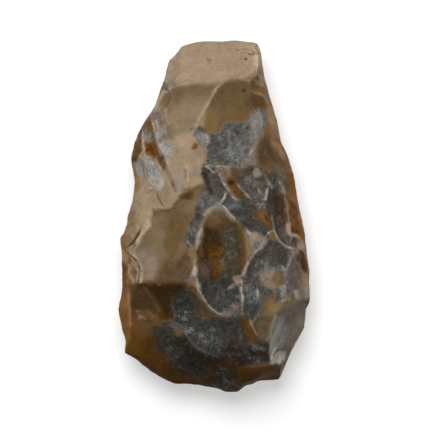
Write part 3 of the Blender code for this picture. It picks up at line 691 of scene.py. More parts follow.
    ("rust", 0.6, 0.8, [(23.4, 4.4), (25.8, 4), (27, -2.4), (25, -3), (23.4, 0)]),
    ("caramel", 0.6, 0.7, [(23.4, 12.6), (26.2, 12), (26.4, 8), (24, 8.2)]),
    ("darkRust", 0.5, 0.3, [(24.2, 4.2), (26, 4), (25.8, 1.8), (24.2, 2)]),
    ("caramel", 0.5, 0.7, [(24.4, 8), (26.8, 7.6), (27, 4.4), (24.6, 4.6)]),
    ("brown", 0.6, 0.7, [(21.4, 10), (22.8, 10), (23, 7), (22, 6.4)]),
    ("peach", 0.4, 0.85, [(22.9, -2), (23.1, -5.4), (24.8, -6.4), (26.6, -6.2), (25, -5), (24, -3)]),
    ("darkRust", 0.4, 0.8, [(24, -3.2), (25.6, -3.2), (27, -5.2), (25, -4.8)]),
    ("pink", 0.4, 0.6, [(26.4, -6.4), (28.4, -7.6), (28.4, -10.6), (27, -9.6), (25.8, -8.8)]),
    ("umber", 0.4, 0.6, [(25.4, -7.4), (26.6, -7.2), (26.4, -8.6), (25.4, -8.6)]),
    # the oval scar
    ("moss", 0.6, 1.0, [(2, 1.8), (5, -0.8), (8, -2.4), (10.4, -5), (11, -8), (11, -12), (9.4, -17.6),
        (8.3, -22), (8.6, -30.4), (4, -30.6), (-1, -28.6), (-3.6, -25.4), (-5.2, -20), (-5.4, -13),
        (-4.4, -7), (-2.4, -1)]),
    ("lilac", 0.6, 0.35, [(1, 2.8), (3, 2.2), (5, 0), (3.4, -0.6), (0.6, 0.6), (-0.4, 1.8)]),
    ("dullBrown", 1.0, 0.7, [(-2, 0), (1, 0.2), (1.6, -1.4), (0.2, -3.4), (-2, -2.6)]),
    ("redBrown", 1.4, 0.6, [(-2.4, -1.2), (3.6, -2), (2.8, -5), (-2.4, -4.4)]),
    ("ember", 0.5, 0.5, [(-1.6, -1.4), (-0.2, -0.8), (0.6, -2), (-0.8, -2.8)]),
    ("darkMoss", 1.0, 1.0, [(2.4, -3), (7, -3.4), (8.2, -8), (7.8, -15), (6, -19), (1, -19), (2, -14),
        (2.8, -8)]),
    ("slate", 1.2, 0.25, [(3.2, -9.6), (6.4, -9.8), (6.8, -12.8), (3.8, -12.4)]),
    ("darkBrown", 0.8, 0.95, [(-3, -3.4), (0.6, -4.8), (2.4, -7), (0, -8.4), (-2, -12), (-1.2, -15),
        (-0.6, -19), (-3, -18), (-4.4, -13), (-4.2, -7.4)]),
    ("soot", 0.6, 0.5, [(-2.8, -6), (-1.6, -7), (-1.6, -12), (-2.8, -13), (-3.4, -9)]),
    ("bark", 0.8, 0.6, [(-2, -3.6), (1.4, -3.9), (2.2, -5.6), (0.6, -7.6), (-2, -7.2)]),
    ("redBrown", 0.3, 0.7, [(-3.5, -3.6), (-2.9, -3.2), (-3.3, -8), (-3.4, -12.6), (-4.2, -12),
        (-4.1, -7.6)]),
    ("darkRust", 0.5, 1.0, [(-2, -9), (0.6, -8.2), (2.6, -9.2), (2.4, -12), (0, -12.7), (-2, -11.8)]),
    ("ember", 0.4, 0.75, [(-1.3, -9.9), (0.4, -9.3), (1.8, -10.2), (1.6, -11.3), (0, -11.9), (-1.1, -11.3)]),
    ("darkRust", 0.3, 0.8, [(-0.9, -10), (0.3, -9.7), (0.8, -10.8), (0.1, -11.3), (-0.8, -11)]),
    ("gold", 0.25, 0.9, [(1.6, -9.6), (2.6, -9.4), (2.7, -10.6), (2, -11.9), (1.5, -11.2), (1.9, -10.4)]),
    ("darkBrown", 0.3, 0.8, [(-2.2, -8.8), (-1, -8), (0.8, -7.6), (2.9, -8.8), (3.2, -10.4), (2.8, -9.6),
        (0.6, -8.7), (-1.4, -9.3)]),
    ("lilac", 0.8, 0.35, [(-4.2, -14.2), (-2, -14.2), (-1, -17.4), (-1.2, -21.6), (-3.4, -20.6),
        (-4.4, -17)]),
    ("gold", 0.5, 0.75, [(0.4, -14.2), (2.4, -13.8), (3.1, -15.6), (2.4, -17.2), (1.3, -16.4), (0.6, -15.6)]),
    ("moss", 0.3, 0.6, [(0.8, -14.4), (1.6, -14.2), (1.5, -15.4), (0.9, -15.6)]),
    ("darkRust", 0.4, 1.0, [(-0.7, -16.6), (0.6, -15.8), (1.6, -17), (1.9, -18.6), (0.6, -19.2),
        (-0.4, -18.4)]),
    ("ember", 0.3, 0.6, [(0, -17.4), (0.8, -17.2), (1.1, -18.4), (0.2, -18.4)]),
    ("gold", 1.0, 0.8, [(7.4, -2.2), (9, -3.6), (10.8, -6.4), (11, -12), (9.8, -15.4), (8.6, -15), (9, -9),
        (8.2, -5)]),
    ("cream", 0.5, 0.35, [(9.8, -5.2), (11, -7), (11.2, -12), (10.2, -14.6), (10, -10)]),
    ("darkSlate", 1.0, 1.0, [(-4.8, -19), (-1, -20), (3, -19.4), (8.4, -17.8), (8.4, -24), (8.4, -30),
        (4, -30.4), (-1, -28.4), (-3.6, -25)]),
    ("bark", 1.0, 0.7, [(-3.4, -18.6), (2, -18.4), (5, -20), (6, -22), (2, -22.6), (-1, -22.4), (-3, -21.6)]),
    ("pink", 0.5, 0.7, [(6.2, -19.2), (8.2, -18.4), (8.2, -21.4), (7, -21)]),
    ("mist", 0.35, 0.45, [(4.1, -22.9), (4.6, -21.9), (6.3, -21), (6.8, -21.5), (5.4, -22.6)]),
    ("lilac", 0.7, 0.9, [(3, -29.6), (5, -28.4), (7.4, -27), (8.6, -28), (8.6, -31.2), (4, -31.4)]),
    ("ochre", 0.4, 0.7, [(-6.8, -9.4), (-5.5, -9.8), (-5.2, -13.6), (-6.4, -15)]),
    ("pink", 0.35, 0.8, [(-4.4, -4), (-3.6, -3.4), (-4.4, -8.6), (-5.4, -9.6), (-5.4, -6.6)]),
    ("cream", 0.4, 0.75, [(-7, -17.2), (-5.8, -15.8), (-5.2, -18.4), (-6.4, -18.6)]),
    ("lilac", 0.4, 0.8, [(-8.8, -19.8), (-7, -18.2), (-6.2, -19.4), (-7.8, -20.8)]),
    # the facets right of it
    ("slate", 0.7, 1.0, [(11.4, -12), (14, -11), (16.4, -8), (19.4, -7), (22, -9.6), (24.4, -10.6),
        (25.6, -14), (26, -20), (24.6, -26), (18, -27.6), (13, -31.6), (9.2, -30.6), (8.8, -24), (9, -19),
        (10, -15)]),
    ("umber", 1.2, 0.5, [(16, -8.6), (21.6, -8.6), (24, -11.4), (22.4, -15), (18, -14), (14.4, -13),
        (13.2, -11.4)]),
    ("darkSlate", 1.0, 0.6, [(17.6, -11), (21.4, -10.6), (22.6, -13.6), (19, -14)]),
    ("bark", 0.7, 0.5, [(9.8, -19), (11.2, -15.4), (12, -16), (10.8, -19.4)]),
    ("umber", 0.9, 0.8, [(9.2, -18.4), (11, -14.4), (12.6, -13.4), (13, -16), (10.8, -21.4), (9, -22)]),
    ("paleGrey", 0.5, 0.55, [(10.7, -5.3), (14.2, -5), (16.4, -7), (15.4, -9.6), (13.2, -11), (11.6, -9.4),
        (11.4, -7)]),
    ("pink", 0.5, 0.6, [(12, -5.6), (14.4, -6), (13.6, -8), (12.2, -7.6)]),
    ("lilac", 0.5, 0.7, [(13, -7.6), (15.6, -7.6), (14.8, -9.6), (12.8, -9.8)]),
    ("ochre", 0.4, 0.8, [(17, -5.2), (19.2, -5), (19.9, -7.4), (18, -7.4)]),
    ("lilac", 0.9, 0.95, [(23.4, -12.4), (25.6, -12.4), (26.8, -18), (27.2, -24), (24.4, -25.6),
        (21.4, -24.6), (20.6, -22), (22.4, -18)]),
    ("pink", 0.9, 0.65, [(14.4, -17.8), (17, -16.1), (19.8, -16.6), (21, -18.8), (20.2, -21), (17.4, -22.2),
        (14.8, -20.8)]),
    ("gold", 0.6, 0.6, [(19.2, -17.2), (21.2, -17.6), (21.9, -19.8), (20.4, -21.6), (18.8, -20.8)]),
    ("rust", 0.3, 0.7, [(18.2, -19), (19.2, -18.8), (19.2, -19.9), (18.4, -19.9)]),
    ("blueGrey", 0.5, 0.8, [(12.4, -17.6), (14.2, -17.4), (14.4, -19), (12.8, -19.4)]),
    ("blueGrey", 0.7, 0.8, [(10.8, -22.8), (13.2, -22.6), (13, -25.2), (10.8, -25.2)]),
    ("umber", 0.6, 0.2, [(15.2, -22.6), (17.2, -22.6), (17, -24.2), (15.2, -24.2)]),
    ("paleGrey", 0.7, 0.75, [(20.4, -22), (22, -21.8), (22.2, -24), (20.6, -24.2)]),
    ("darkSlate", 0.8, 0.35, [(9.8, -27.2), (13, -26.8), (14.8, -28), (13.4, -31.4), (10, -30.8)]),
    ("blueGrey", 0.6, 0.3, [(10.4, -28), (13, -28), (13, -30.4), (10.6, -30.2)]),
    ("ochre", 0.9, 0.7, [(15.4, -28), (17.4, -25.4), (20, -26.4), (24.6, -25.2), (25.6, -27), (21.4, -28.2),
        (19.4, -31), (15.4, -31), (14.2, -30.2)]),
    ("orange", 0.7, 0.2, [(16, -27.4), (17.8, -26), (18, -28.6), (16, -29.8)]),
    ("cream", 0.4, 0.85, [(25.1, -23.3), (26.9, -23.2), (27, -25.2), (25.2, -25.3)]),
    ("darkRust", 0.4, 0.95, [(25.6, -10.9), (27.6, -11.2), (28.8, -13.8), (29.4, -17.4), (28, -17.6),
        (26.6, -15.6)]),
    ("darkBrown", 0.5, 0.4, [(26, -11.4), (27.2, -11.8), (28, -14), (27.8, -16), (26.8, -15)]),
    ("greyTan", 0.5, 0.9, [(26.8, -17.8), (28.2, -18.4), (29.8, -18), (30.6, -24), (29, -27.4), (27.4, -26)]),
    ("apricot", 0.5, 0.6, [(27.2, -18.8), (29, -18.6), (29.8, -22.4), (28.4, -23.6), (27.2, -22)]),
    ("paleGrey", 0.4, 0.7, [(28, -23), (29.6, -22.6), (29.6, -26.4), (28.4, -26.4)]),
    # the right of the heel
    ("umber", 0.9, 1.0, [(14.6, -31), (19, -30.6), (24.6, -27.6), (30, -26), (29, -35), (25, -42), (21, -49),
        (18.6, -45.4), (16, -44), (9, -44), (8.4, -32)]),
    ("dove", 1.2, 0.7, [(21, -28.6), (29.4, -27), (28.8, -34), (25, -41), (22, -46), (20.4, -43),
        (22.8, -38), (23.8, -33)]),
    ("umber", 1.4, 0.15, [(24.6, -28.4), (29.4, -27.4), (28.6, -32.6), (25.6, -33)]),
    ("mist", 1.4, 0.2, [(25, -33), (28.6, -32), (26.8, -38.6), (24.4, -41), (23.6, -37.6)]),
    ("dove", 1.2, 0.7, [(25, -34), (28.2, -33.4), (26.8, -38.6), (24.4, -41), (23.6, -37.6)]),
    ("smoke", 1.8, 0.95, [(19, -31.6), (21.2, -31), (23, -33), (23.2, -37), (21.8, -40.4), (18.8, -41.4),
        (17.8, -38)]),
    ("greyTan", 0.6, 0.6, [(15.6, -39), (17.6, -38), (17.8, -44), (16, -44.6)]),
    ("white", 0.5, 0.75, [(18, -43.4), (19.6, -42.6), (21.6, -41.6), (22.6, -42.8), (21, -45.8),
        (19.2, -46.2), (17.8, -45.6)]),
    ("dullBrown", 0.9, 0.55, [(15.6, -31), (19.2, -31), (18.4, -35), (16.8, -38), (14.4, -38), (13.4, -34)]),
    ("darkRust", 1.2, 0.6, [(7.8, -31.4), (10.4, -31.4), (13.4, -36), (13, -40), (9.6, -38.6), (8, -35)]),
    ("gold", 0.9, 0.6, [(8.4, -31.4), (10.4, -31.8), (12, -34), (12.8, -37), (11.6, -38.6), (9.6, -36.4),
        (8.6, -34)]),
    ("ember", 0.4, 0.7, [(8.6, -31.6), (9.8, -32), (10.4, -33.8), (9.2, -34)]),
    ("ember", 0.4, 0.5, [(9.8, -35.4), (11.2, -35.6), (11.6, -37), (10.4, -37.4)]),
    ("pink", 0.4, 0.5, [(11.2, -32.4), (12.4, -32.4), (12.2, -34), (11.2, -33.8)]),
    # the heel
    ("darkSlate", 0.9, 1.0, [(-12.4, -23.6), (-10, -21.6), (-7, -22.6), (-4.6, -25.6), (-1.6, -29),
        (2, -31.2), (8.4, -31), (8.6, -35), (8, -39), (11, -40.6), (17, -39), (17.4, -44.6), (10, -47),
        (0, -49.4), (-8, -49.8), (-12, -46.6), (-17, -39.6), (-18.8, -34.4), (-16.4, -32.4), (-13, -32),
        (-12.6, -28)]),
    ("slate", 1.6, 0.12, [(-12, -31.4), (-8, -31), (-6.6, -34), (-3, -34.6), (2, -34.8), (3.4, -38),
        (1.6, -42.6), (-3, -41.6), (-7, -38.8), (-9.6, -35.4)]),
    ("darkSlate", 1.2, 0.6, [(-6, -32), (2, -32), (8, -32), (7, -35.4), (1, -34.4), (-5, -34)]),
    ("soot", 1.6, 0.6, [(-17, -37.6), (-14.4, -35.6), (-12.4, -36.6), (-10.6, -40.6), (-9, -45), (-5.6, -49),
        (-9, -48.6), (-14, -43)]),
    ("soot", 1.4, 0.4, [(-11.6, -23.4), (-9.6, -22.4), (-7.6, -24.4), (-8, -28), (-11.8, -30)]),
    ("soot", 1.5, 1.0, [(-12.4, -38), (-9.4, -37.2), (-5.4, -40.4), (-1, -42.8), (4, -44.4), (9, -45.6),
        (9.4, -50), (2, -52), (-4, -50.8), (-8.4, -46.6), (-12, -41.6)]),
    ("darkSlate", 1.4, 0.45, [(-13, -41), (-11.4, -40.4), (-8.6, -44), (-9.6, -45.6)]),
    ("bark", 1.2, 0.8, [(3, -40), (8, -39.6), (11, -41), (16.6, -40), (17.2, -45), (10, -46.4), (9, -49),
        (9.4, -52), (4, -56), (-4, -53), (-2, -48.6), (3, -45.6), (2.4, -42.6)]),
    # nearly black band along the bottom rim: painted shade where the rim faces away from the light, over the
    # heel's dark flint
    ("soot", 1.6, 0.8, [(-8, -50.4), (-2, -50), (4, -50), (10, -50.6), (10, -56), (-8, -56)]),
    ("soot", 1.4, 0.35, [(4, -37), (8, -36.6), (11, -39), (9, -42), (4, -41)]),
    ("soot", 1.2, 0.5, [(10.4, -41.8), (15.6, -39.4), (16, -42.6), (12, -45), (9.4, -44.6)]),
    ("umber", 1.6, 0.4, [(5, -37), (8, -36.4), (12.4, -38.6), (13.4, -40.6), (9, -41), (5.4, -40.4)]),
    ("darkBrown", 1.0, 0.5, [(-6.4, -24), (-4.6, -24.4), (-2.4, -28), (-3.6, -29), (-6, -27)]),
    ("redBrown", 0.9, 0.7, [(-5.6, -26.4), (-3.4, -27.2), (-0.8, -30), (0.8, -31.4), (-3, -31.8),
        (-6, -30.6)]),
    ("umber", 0.5, 0.5, [(-6, -26), (-4.6, -26.4), (-4.8, -29), (-6, -28.6)]),
    ("rust", 0.4, 0.85, [(-7.6, -21.2), (-5.8, -21), (-5.3, -23.8), (-6.8, -23.8)]),
    ("ochre", 0.5, 0.55, [(-12, -34.2), (-10.2, -34.8), (-9.8, -36.8), (-11.4, -37)]),
    ("lilac", 0.5, 0.6, [(-13.6, -33.2), (-11, -33.8), (-10.6, -34.8), (-12.8, -34.4)]),
    ("darkBrown", 1.2, 0.55, [(1.2, -44.2), (4, -44.4), (7.8, -45.6), (7.4, -47.6), (4, -47), (1.6, -46.6)]),
    ("darkRust", 0.7, 0.35, [(1.4, -44.2), (3.8, -44.2), (3.8, -46.2), (1.8, -46)]),
    ("darkRust", 0.8, 0.3, [(5, -45), (7.2, -45.6), (6.8, -47.4), (5.2, -46.8)]),
    ("lilac", 0.6, 0.15, [(4.4, -43.8), (5.6, -43.8), (5.4, -45.6), (4.4, -45.4)]),
    ("darkRust", 0.7, 0.35, [(-1.8, -46.8), (-0.2, -46.8), (-0.4, -51.6), (-1.8, -51.4)]),
    ("amber", 0.8, 0.9, [(7.8, -47.2), (12, -46.8), (17.6, -45.8), (20.8, -47.4), (20.6, -51.6), (13, -51.8),
        (9.6, -52.4), (8, -50.6)]),
    ("darkBrown", 0.9, 0.6, [(9.2, -48.8), (13, -48.2), (18, -48.6), (21.4, -49), (21, -52), (9.6, -52.6)]),
    ("darkRust", 0.8, 0.6, [(14, -48), (20, -48.6), (20.4, -51), (13.6, -51.6)]),
    ("darkBrown", 1.0, 0.5, [(7.8, -47), (14, -46.6), (15, -48.6), (12.6, -51.4), (8, -51.6)]),
    ("mahogany", 0.7, 0.8, [(14.8, -47.4), (18, -46.4), (20.6, -47.6), (20.2, -50.6), (15.4, -50.8)]),
    ("amber", 1.0, 1.0, [(-28, -21), (-8.6, -21), (-11, -23.4), (-13, -27), (-13, -31.6), (-16.4, -32.6),
        (-18.8, -34.6), (-17.4, -39.6), (-12.4, -46.8), (-7.6, -50), (-3.6, -51.6), (-4, -56), (-18, -52),
        (-30, -44), (-30.5, -30)]),
    ("darkBrown", 0.8, 0.95, [(-21.6, -21.2), (-9, -21.2), (-10.6, -23.2), (-12.6, -25), (-13.4, -29),
        (-14.6, -30.4), (-16.4, -28.4), (-19, -24.4)]),
    ("moss", 0.7, 0.9, [(-26.2, -21.6), (-21.6, -21.6), (-19, -25), (-16.6, -29), (-18, -31), (-22, -30),
        (-25, -29.4), (-26.2, -26)]),
    ("darkBrown", 1.4, 0.5, [(-21, -38), (-17.4, -39.6), (-12.4, -46.4), (-6, -50), (-6, -55), (-16, -52),
        (-21, -46)]),
    ("darkBrown", 1.0, 0.5, [(-26, -43), (-21, -45), (-16, -49.6), (-20, -50), (-28, -45)]),
    ("darkBrown", 1.2, 0.5, [(-13, -47.4), (-8.4, -49.6), (-4, -51.4), (-4, -54), (-13.6, -52.6)]),
    ("bark", 1.0, 0.7, [(-18.6, -34.6), (-17.6, -34.4), (-16.4, -39.4), (-11.6, -46.6), (-7, -49.6),
        (-8, -50.4), (-13, -47.4), (-18.2, -40)]),
    ("dullBrown", 1.8, 0.35, [(-24, -30), (-19, -31), (-18.6, -35.6), (-22, -38), (-25, -34)]),
    ("umber", 1.2, 0.5, [(3, -51.6), (8, -51.4), (8, -55), (3, -55)]),
    ("caramel", 1.6, 0.2, [(-26.4, -32), (-22.4, -33), (-21.6, -40), (-24, -43), (-27.4, -41.6)]),
    ("darkBrown", 0.8, 0.6, [(-15.2, -29.4), (-13.4, -28.2), (-12.9, -31.4), (-14.6, -32)]),
    ("ochre", 0.7, 0.25, [(-20.8, -29.4), (-17.6, -30.2), (-16.6, -32), (-19, -32.6)]),
    ("dullBrown", 0.6, 0.35, [(-25, -29.2), (-22.4, -29.4), (-20.6, -31), (-21.6, -33), (-23.8, -32)]),
    ("pink", 0.3, 0.45, [(-23.6, -30.8), (-22.4, -30.6), (-22.2, -32), (-23.2, -32)]),
    ("caramel", 0.5, 1.0, [(-29, -23.6), (-27, -22), (-26, -28), (-25.9, -35), (-26.6, -39), (-27.6, -40),
        (-29, -36), (-31, -29.6)]),
    ("rust", 0.6, 0.6, [(-30.4, -27), (-28.8, -26.4), (-27.8, -32), (-28.4, -36), (-30, -33)]),
]

# lines painted with a soft brush: tone, half width, strength and route
paint["strokes"] = [
    ("cream", 0.28, 0.6, [(-16.2, 37.6), (-14.4, 38.9), (-12.4, 40), (-10, 40.8), (-7.6, 41.3)]),
    ("cream", 0.35, 0.8, [(-13.2, 49.2), (-11.8, 50.6), (-10.7, 51.8), (-10, 53)]),
    ("cream", 0.5, 0.7, [(-15.8, 38.8), (-16.7, 36.8), (-17.7, 34.8), (-18.6, 32.8)]),
    ("apricot", 0.5, 0.3, [(6.6, 53), (9, 52.4), (12, 52.4), (13.6, 53)]),
    ("peach", 0.5, 0.4, [(12.5, 47.4), (13.1, 50), (12.9, 53)]),
    # pale along the ridge between the two bowls: partly worn edge, partly painted highlight where the ridge
    # catches the light
    ("tan", 0.6, 0.8, [(2.6, 41.3), (0.9, 39.7), (-0.2, 38), (-1.3, 35.8), (-2.7, 33.6), (-3.9, 31.6),
        (-4.9, 29.6), (-5.7, 27.4), (-6.8, 25)]),
    ("peach", 0.36, 0.65, [(1.4, 40.2), (0, 38), (-1.6, 35.2), (-2.8, 33.4)]),
    ("pink", 0.5, 0.8, [(-2.8, 33.4), (-4.4, 30.4), (-5.4, 27.8)]),
    ("tan", 0.5, 0.6, [(-14.8, 33.4), (-14.6, 31), (-14, 28.6)]),
    ("tan", 0.5, 0.6, [(-9.6, 40.4), (-5, 41.4), (0, 41.8), (4, 42.4), (8, 43), (12, 44.2), (15, 45.4)]),
    ("cream", 0.32, 0.35, [(11.8, 38.9), (13.4, 38.3), (15.4, 37.4), (17, 35.4)]),
    ("lilac", 0.4, 0.6, [(15.6, 33.2), (16.8, 30.6), (16.8, 28.4), (15.6, 25.8), (13.8, 23)]),
    ("cream", 0.32, 0.5, [(-18.8, 28.6), (-17.9, 25.4), (-17.2, 22.4), (-15.6, 19.8), (-14.3, 16.4),
        (-12.6, 12)]),
    ("white", 0.3, 0.6, [(-16.9, 22.4), (-15.4, 21.4), (-13.6, 21)]),
    ("mist", 0.3, 0.6, [(-15.8, 20.6), (-14.4, 20), (-12.8, 19.9)]),
    ("white", 0.28, 0.5, [(-15.2, 19.4), (-14, 18.9), (-12.8, 18.8)]),
    ("mist", 0.25, 0.5, [(-14.6, 18), (-13.4, 17.4)]),
    ("white", 0.3, 0.5, [(-17.9, 29.6), (-17.5, 28.6), (-17.2, 27)]),
    ("dullBrown", 0.3, 0.6, [(-21.6, -22.2), (-19.8, -24.4), (-18.2, -27), (-17, -29.4)]),
    ("pink", 0.3, 0.45, [(-23.8, -29.5), (-22.8, -31.2), (-21.4, -31.7)]),
    ("caramel", 0.28, 0.5, [(-23.4, -29.3), (-21.6, -29.9), (-20.4, -30.9)]),
    ("caramel", 0.25, 0.5, [(-19.6, -29.8), (-18.4, -31), (-17.4, -31)]),
    ("apricot", 0.3, 0.5, [(11.2, -31.8), (11.8, -33.4), (12.6, -35.4), (13.4, -37)]),
    ("amber", 0.5, 0.8, [(9, -32.6), (9.8, -34.6), (11, -37), (12.4, -39)]),
    ("soot", 0.35, 0.5, [(8.3, -34), (8.8, -35.8), (9.6, -37.4), (10.2, -39)]),
    ("soot", 0.3, 0.5, [(10.4, -35), (11.6, -36), (12.8, -37.4)]),
    ("dullBrown", 0.2, 0.6, [(-19.4, 15.6), (-18.6, 14.6), (-18.2, 13.6)]),
    ("dullBrown", 0.2, 0.5, [(-18.4, 15.6), (-17.7, 14.6)]),
    ("dullBrown", 0.2, 0.5, [(-17.9, 12.6), (-17, 12)]),
    ("lilac", 0.3, 0.6, [(19.6, 12), (21, 10.4), (21.9, 8.8), (21.4, 7.2)]),
    ("lilac", 0.3, 0.5, [(22.6, 11), (23.3, 9.2), (23, 7.6), (22, 6.6)]),
    ("pink", 0.3, 0.35, [(20.6, 12.6), (22.4, 11.8), (23.2, 10.6)]),
    ("pink", 0.25, 0.7, [(22.2, 5.6), (22.9, 3.6), (23.2, 1), (23.4, -1.6)]),
    ("cream", 0.38, 0.85, [(23.7, -2.4), (23.2, -3.8), (23.5, -5), (24.8, -5.5), (26.4, -6.3)]),
    ("white", 0.28, 0.7, [(16.6, 8.3), (16.3, 6.8), (15.9, 5.2)]),
    ("apricot", 0.25, 0.6, [(-14.4, 23.1), (-11.6, 23), (-9.6, 23.6), (-7.8, 24.8), (-6.6, 26)]),
    # painted light: a warm caramel band over the steep right-facing slope, making up for the grey of its
    # shade
    ("caramel", 1.0, 0.45, [(16.8, 26.4), (18.6, 22), (20.8, 18.6), (22.8, 16)]),
    ("mist", 0.4, 0.35, [(18.2, -40.8), (19.2, -37), (20.6, -33.4)]),
    ("umber", 0.35, 0.35, [(20, -39.4), (21.6, -35), (23.2, -31)]),
    ("umber", 0.3, 0.35, [(22, -41), (23.8, -36.8), (25.4, -32.4)]),
    ("ash", 0.5, 0.35, [(23.4, -40.8), (25.6, -37), (27.4, -33)]),
    ("redBrown", 0.22, 0.7, [(12.2, 50.9), (13.6, 50.6), (15, 50.2)]),
    ("redBrown", 0.2, 0.5, [(8.8, 51.9), (10.2, 52), (11, 51.6)]),
    ("cream", 0.3, 0.6, [(-24.4, -12.4), (-22.7, -14.8), (-22.1, -17.8), (-22.5, -20.6)]),
    ("redBrown", 0.25, 0.7, [(-26.4, -12), (-24.8, -13.2), (-23.4, -15), (-23, -17.6), (-23.4, -20)]),
    ("redBrown", 0.3, 0.6, [(-25.6, -15.6), (-24.5, -17.4), (-24.7, -19.6)]),
    ("cream", 0.25, 0.6, [(-26.6, -15), (-26.2, -18), (-25.3, -20.6)]),
    ("redBrown", 0.4, 0.5, [(-19.4, 22.2), (-17.8, 20.2), (-16.6, 17.8), (-15.4, 15)]),
    # pale line along the plates' ridge: partly worn edge, partly painted highlight where the ridge catches
    # the light
    ("cream", 0.3, 0.45, [(-17.6, 17.8), (-16.2, 14), (-14.4, 10.8), (-12, 7.4)]),
    ("lilac", 0.4, 0.8, [(-12, 39.4), (-14.4, 38), (-15.6, 36.4)]),
    ("orange", 0.3, 0.45, [(-13.6, 12), (-12.4, 9), (-11.2, 6.8), (-9.6, 6.2)]),
    ("redBrown", 0.3, 0.7, [(-14.2, 13.6), (-13, 10.6), (-11.6, 8)]),
    ("lilac", 0.4, 0.7, [(14.4, 14.4), (16, 12), (17.2, 9.8), (18.2, 8.4)]),
    ("lilac", 0.35, 0.25, [(18, 14.6), (20, 13.4), (22, 10.6), (22.4, 7), (22.2, 3.4)]),
    ("lilac", 0.35, 0.1, [(14, 20.6), (16.6, 19.2), (17.8, 17.2)]),
    ("lilac", 0.5, 0.6, [(22.6, 4.4), (22.8, 1), (23, -2)]),
    ("moss", 0.6, 0.6, [(-20.4, -22.8), (-19, -24.8), (-17.8, -26.8), (-16.4, -29)]),
    ("white", 0.35, 0.95, [(17.9, -44.2), (18.2, -42.6), (19.2, -41.2)]),
    ("cream", 0.5, 0.7, [(19.2, -31), (18.2, -34.5), (17.8, -38), (17.7, -43)]),
    ("orange", 0.7, 0.5, [(-26.7, -22), (-26.2, -26), (-26, -30), (-25.9, -34), (-26.6, -38)]),
    ("cream", 0.35, 0.35, [(-26.8, -24), (-26.2, -30), (-26, -34)]),
    ("lilac", 0.4, 0.6, [(26.8, -13.4), (27, -16.6), (27.2, -20), (27.8, -23.6), (28.4, -25.6)]),
    ("apricot", 0.35, 0.7, [(26.2, 3.4), (26.6, 1), (26.9, -1)]),
    ("cream", 0.4, 0.5, [(29, -18.4), (29.2, -22), (28.8, -26)]),
    ("cream", 0.35, 0.5, [(26, -11), (27.2, -10), (28.4, -9.8)]),
    ("ochre", 0.4, 0.12, [(8.4, -47.4), (10, -46.8), (14, -46.6), (17.4, -45.8)]),
    ("ochre", 0.5, 0.25, [(-24.6, -29.4), (-21, -29.5), (-19, -30.9), (-17.6, -32)]),
    ("pink", 0.5, 0.7, [(13, -11), (11.8, -12.4), (10.6, -14.6), (9.6, -16.6), (8.8, -18.4)]),
    ("ochre", 0.6, 0.7, [(18.8, -22.4), (19, -24.6), (17.8, -26.6)]),
    ("ash", 0.3, 0.75, [(-12.4, -33.2), (-10.4, -34), (-8.8, -35.4), (-8.2, -37.4), (-6.4, -39.6),
        (-4, -41.4), (-1, -42.8), (1.6, -43.8)]),
    ("darkBrown", 0.5, 0.5, [(-21.4, -21.6), (-16, -21.5), (-10, -21.4)]),
    ("redBrown", 0.5, 0.5, [(-10.4, 5.2), (-12.4, 2.8), (-14, 1.6), (-17, 1.6)]),
    ("cream", 0.4, 0.4, [(-12.6, 3.2), (-14, 2.2), (-16.6, 2.6), (-19, 2.4)]),
    ("soot", 0.45, 0.75, [(-18.8, -34.6), (-18.2, -37.4), (-17, -39.8), (-14.8, -43.2), (-12.2, -46.4),
        (-8.6, -49.2)]),
    ("soot", 0.4, 0.6, [(-11.6, -24.2), (-12.8, -27), (-13.1, -31.4)]),
    ("ochre", 0.35, 0.5, [(-6, -14.6), (-5.8, -12), (-5.6, -9.6)]),
]

# clusters of pale specks: across, up, radius, strength
paint["clusters"] = [
    (4, 23, 5, 0.7), (6, 18, 4, 0.8), (12, 27, 4, 0.7), (0, 17.5, 2.5, 0.7), (-16.6, 26, 3, 0.9),
    (-20, 13, 4, 1.0), (-21, 24.6, 1.6, 0.7), (-6, -4, 2.6, 0.8), (12, 10, 3.4, 0.6), (14, 4, 3, 0.7),
    (6, 3, 3, 0.5), (4.2, -26, 3.8, 0.5), (6, -11, 3, 0.5), (11, -24, 4, 0.9), (15, -15, 3, 0.7),
    (22, -20, 4, 0.5), (-9.6, -30.6, 2.6, 1.0), (-7.4, -35.6, 2.4, 0.9), (-2.4, -37.4, 4, 0.7),
    (0.6, -40.4, 2.6, 0.6), (-9.4, -43, 1.6, 0.5), (-12.6, -40, 1.4, 0.4), (11.6, -23.6, 2.4, 0.9),
    (-10, -27, 2.6, 0.2), (-14, -40, 4, 0.15), (6, -43, 4, 0.4), (20, -35, 3, 0.4), (-0.6, 11, 2.4, 0.4),
    (13, -8, 2.4, 0.6), (19, 10, 3, 0.5), (22, -4, 2.6, 0.3), (-15, 41, 2.2, 0.5), (14, 41.6, 1.8, 0.5),
    (-2, 5, 2.6, 0.5), (5, -6.6, 3.6, 0.5), (4, -15, 3, 0.5), (1, -50.6, 5, 0.35), (13, -43, 3.6, 0.6),
    (-13.6, -43, 4, 0.2), (20.4, 3, 2.6, 0.2), (21, 9.6, 3, 0.5), (-7, -23, 1.6, 0.5),
]

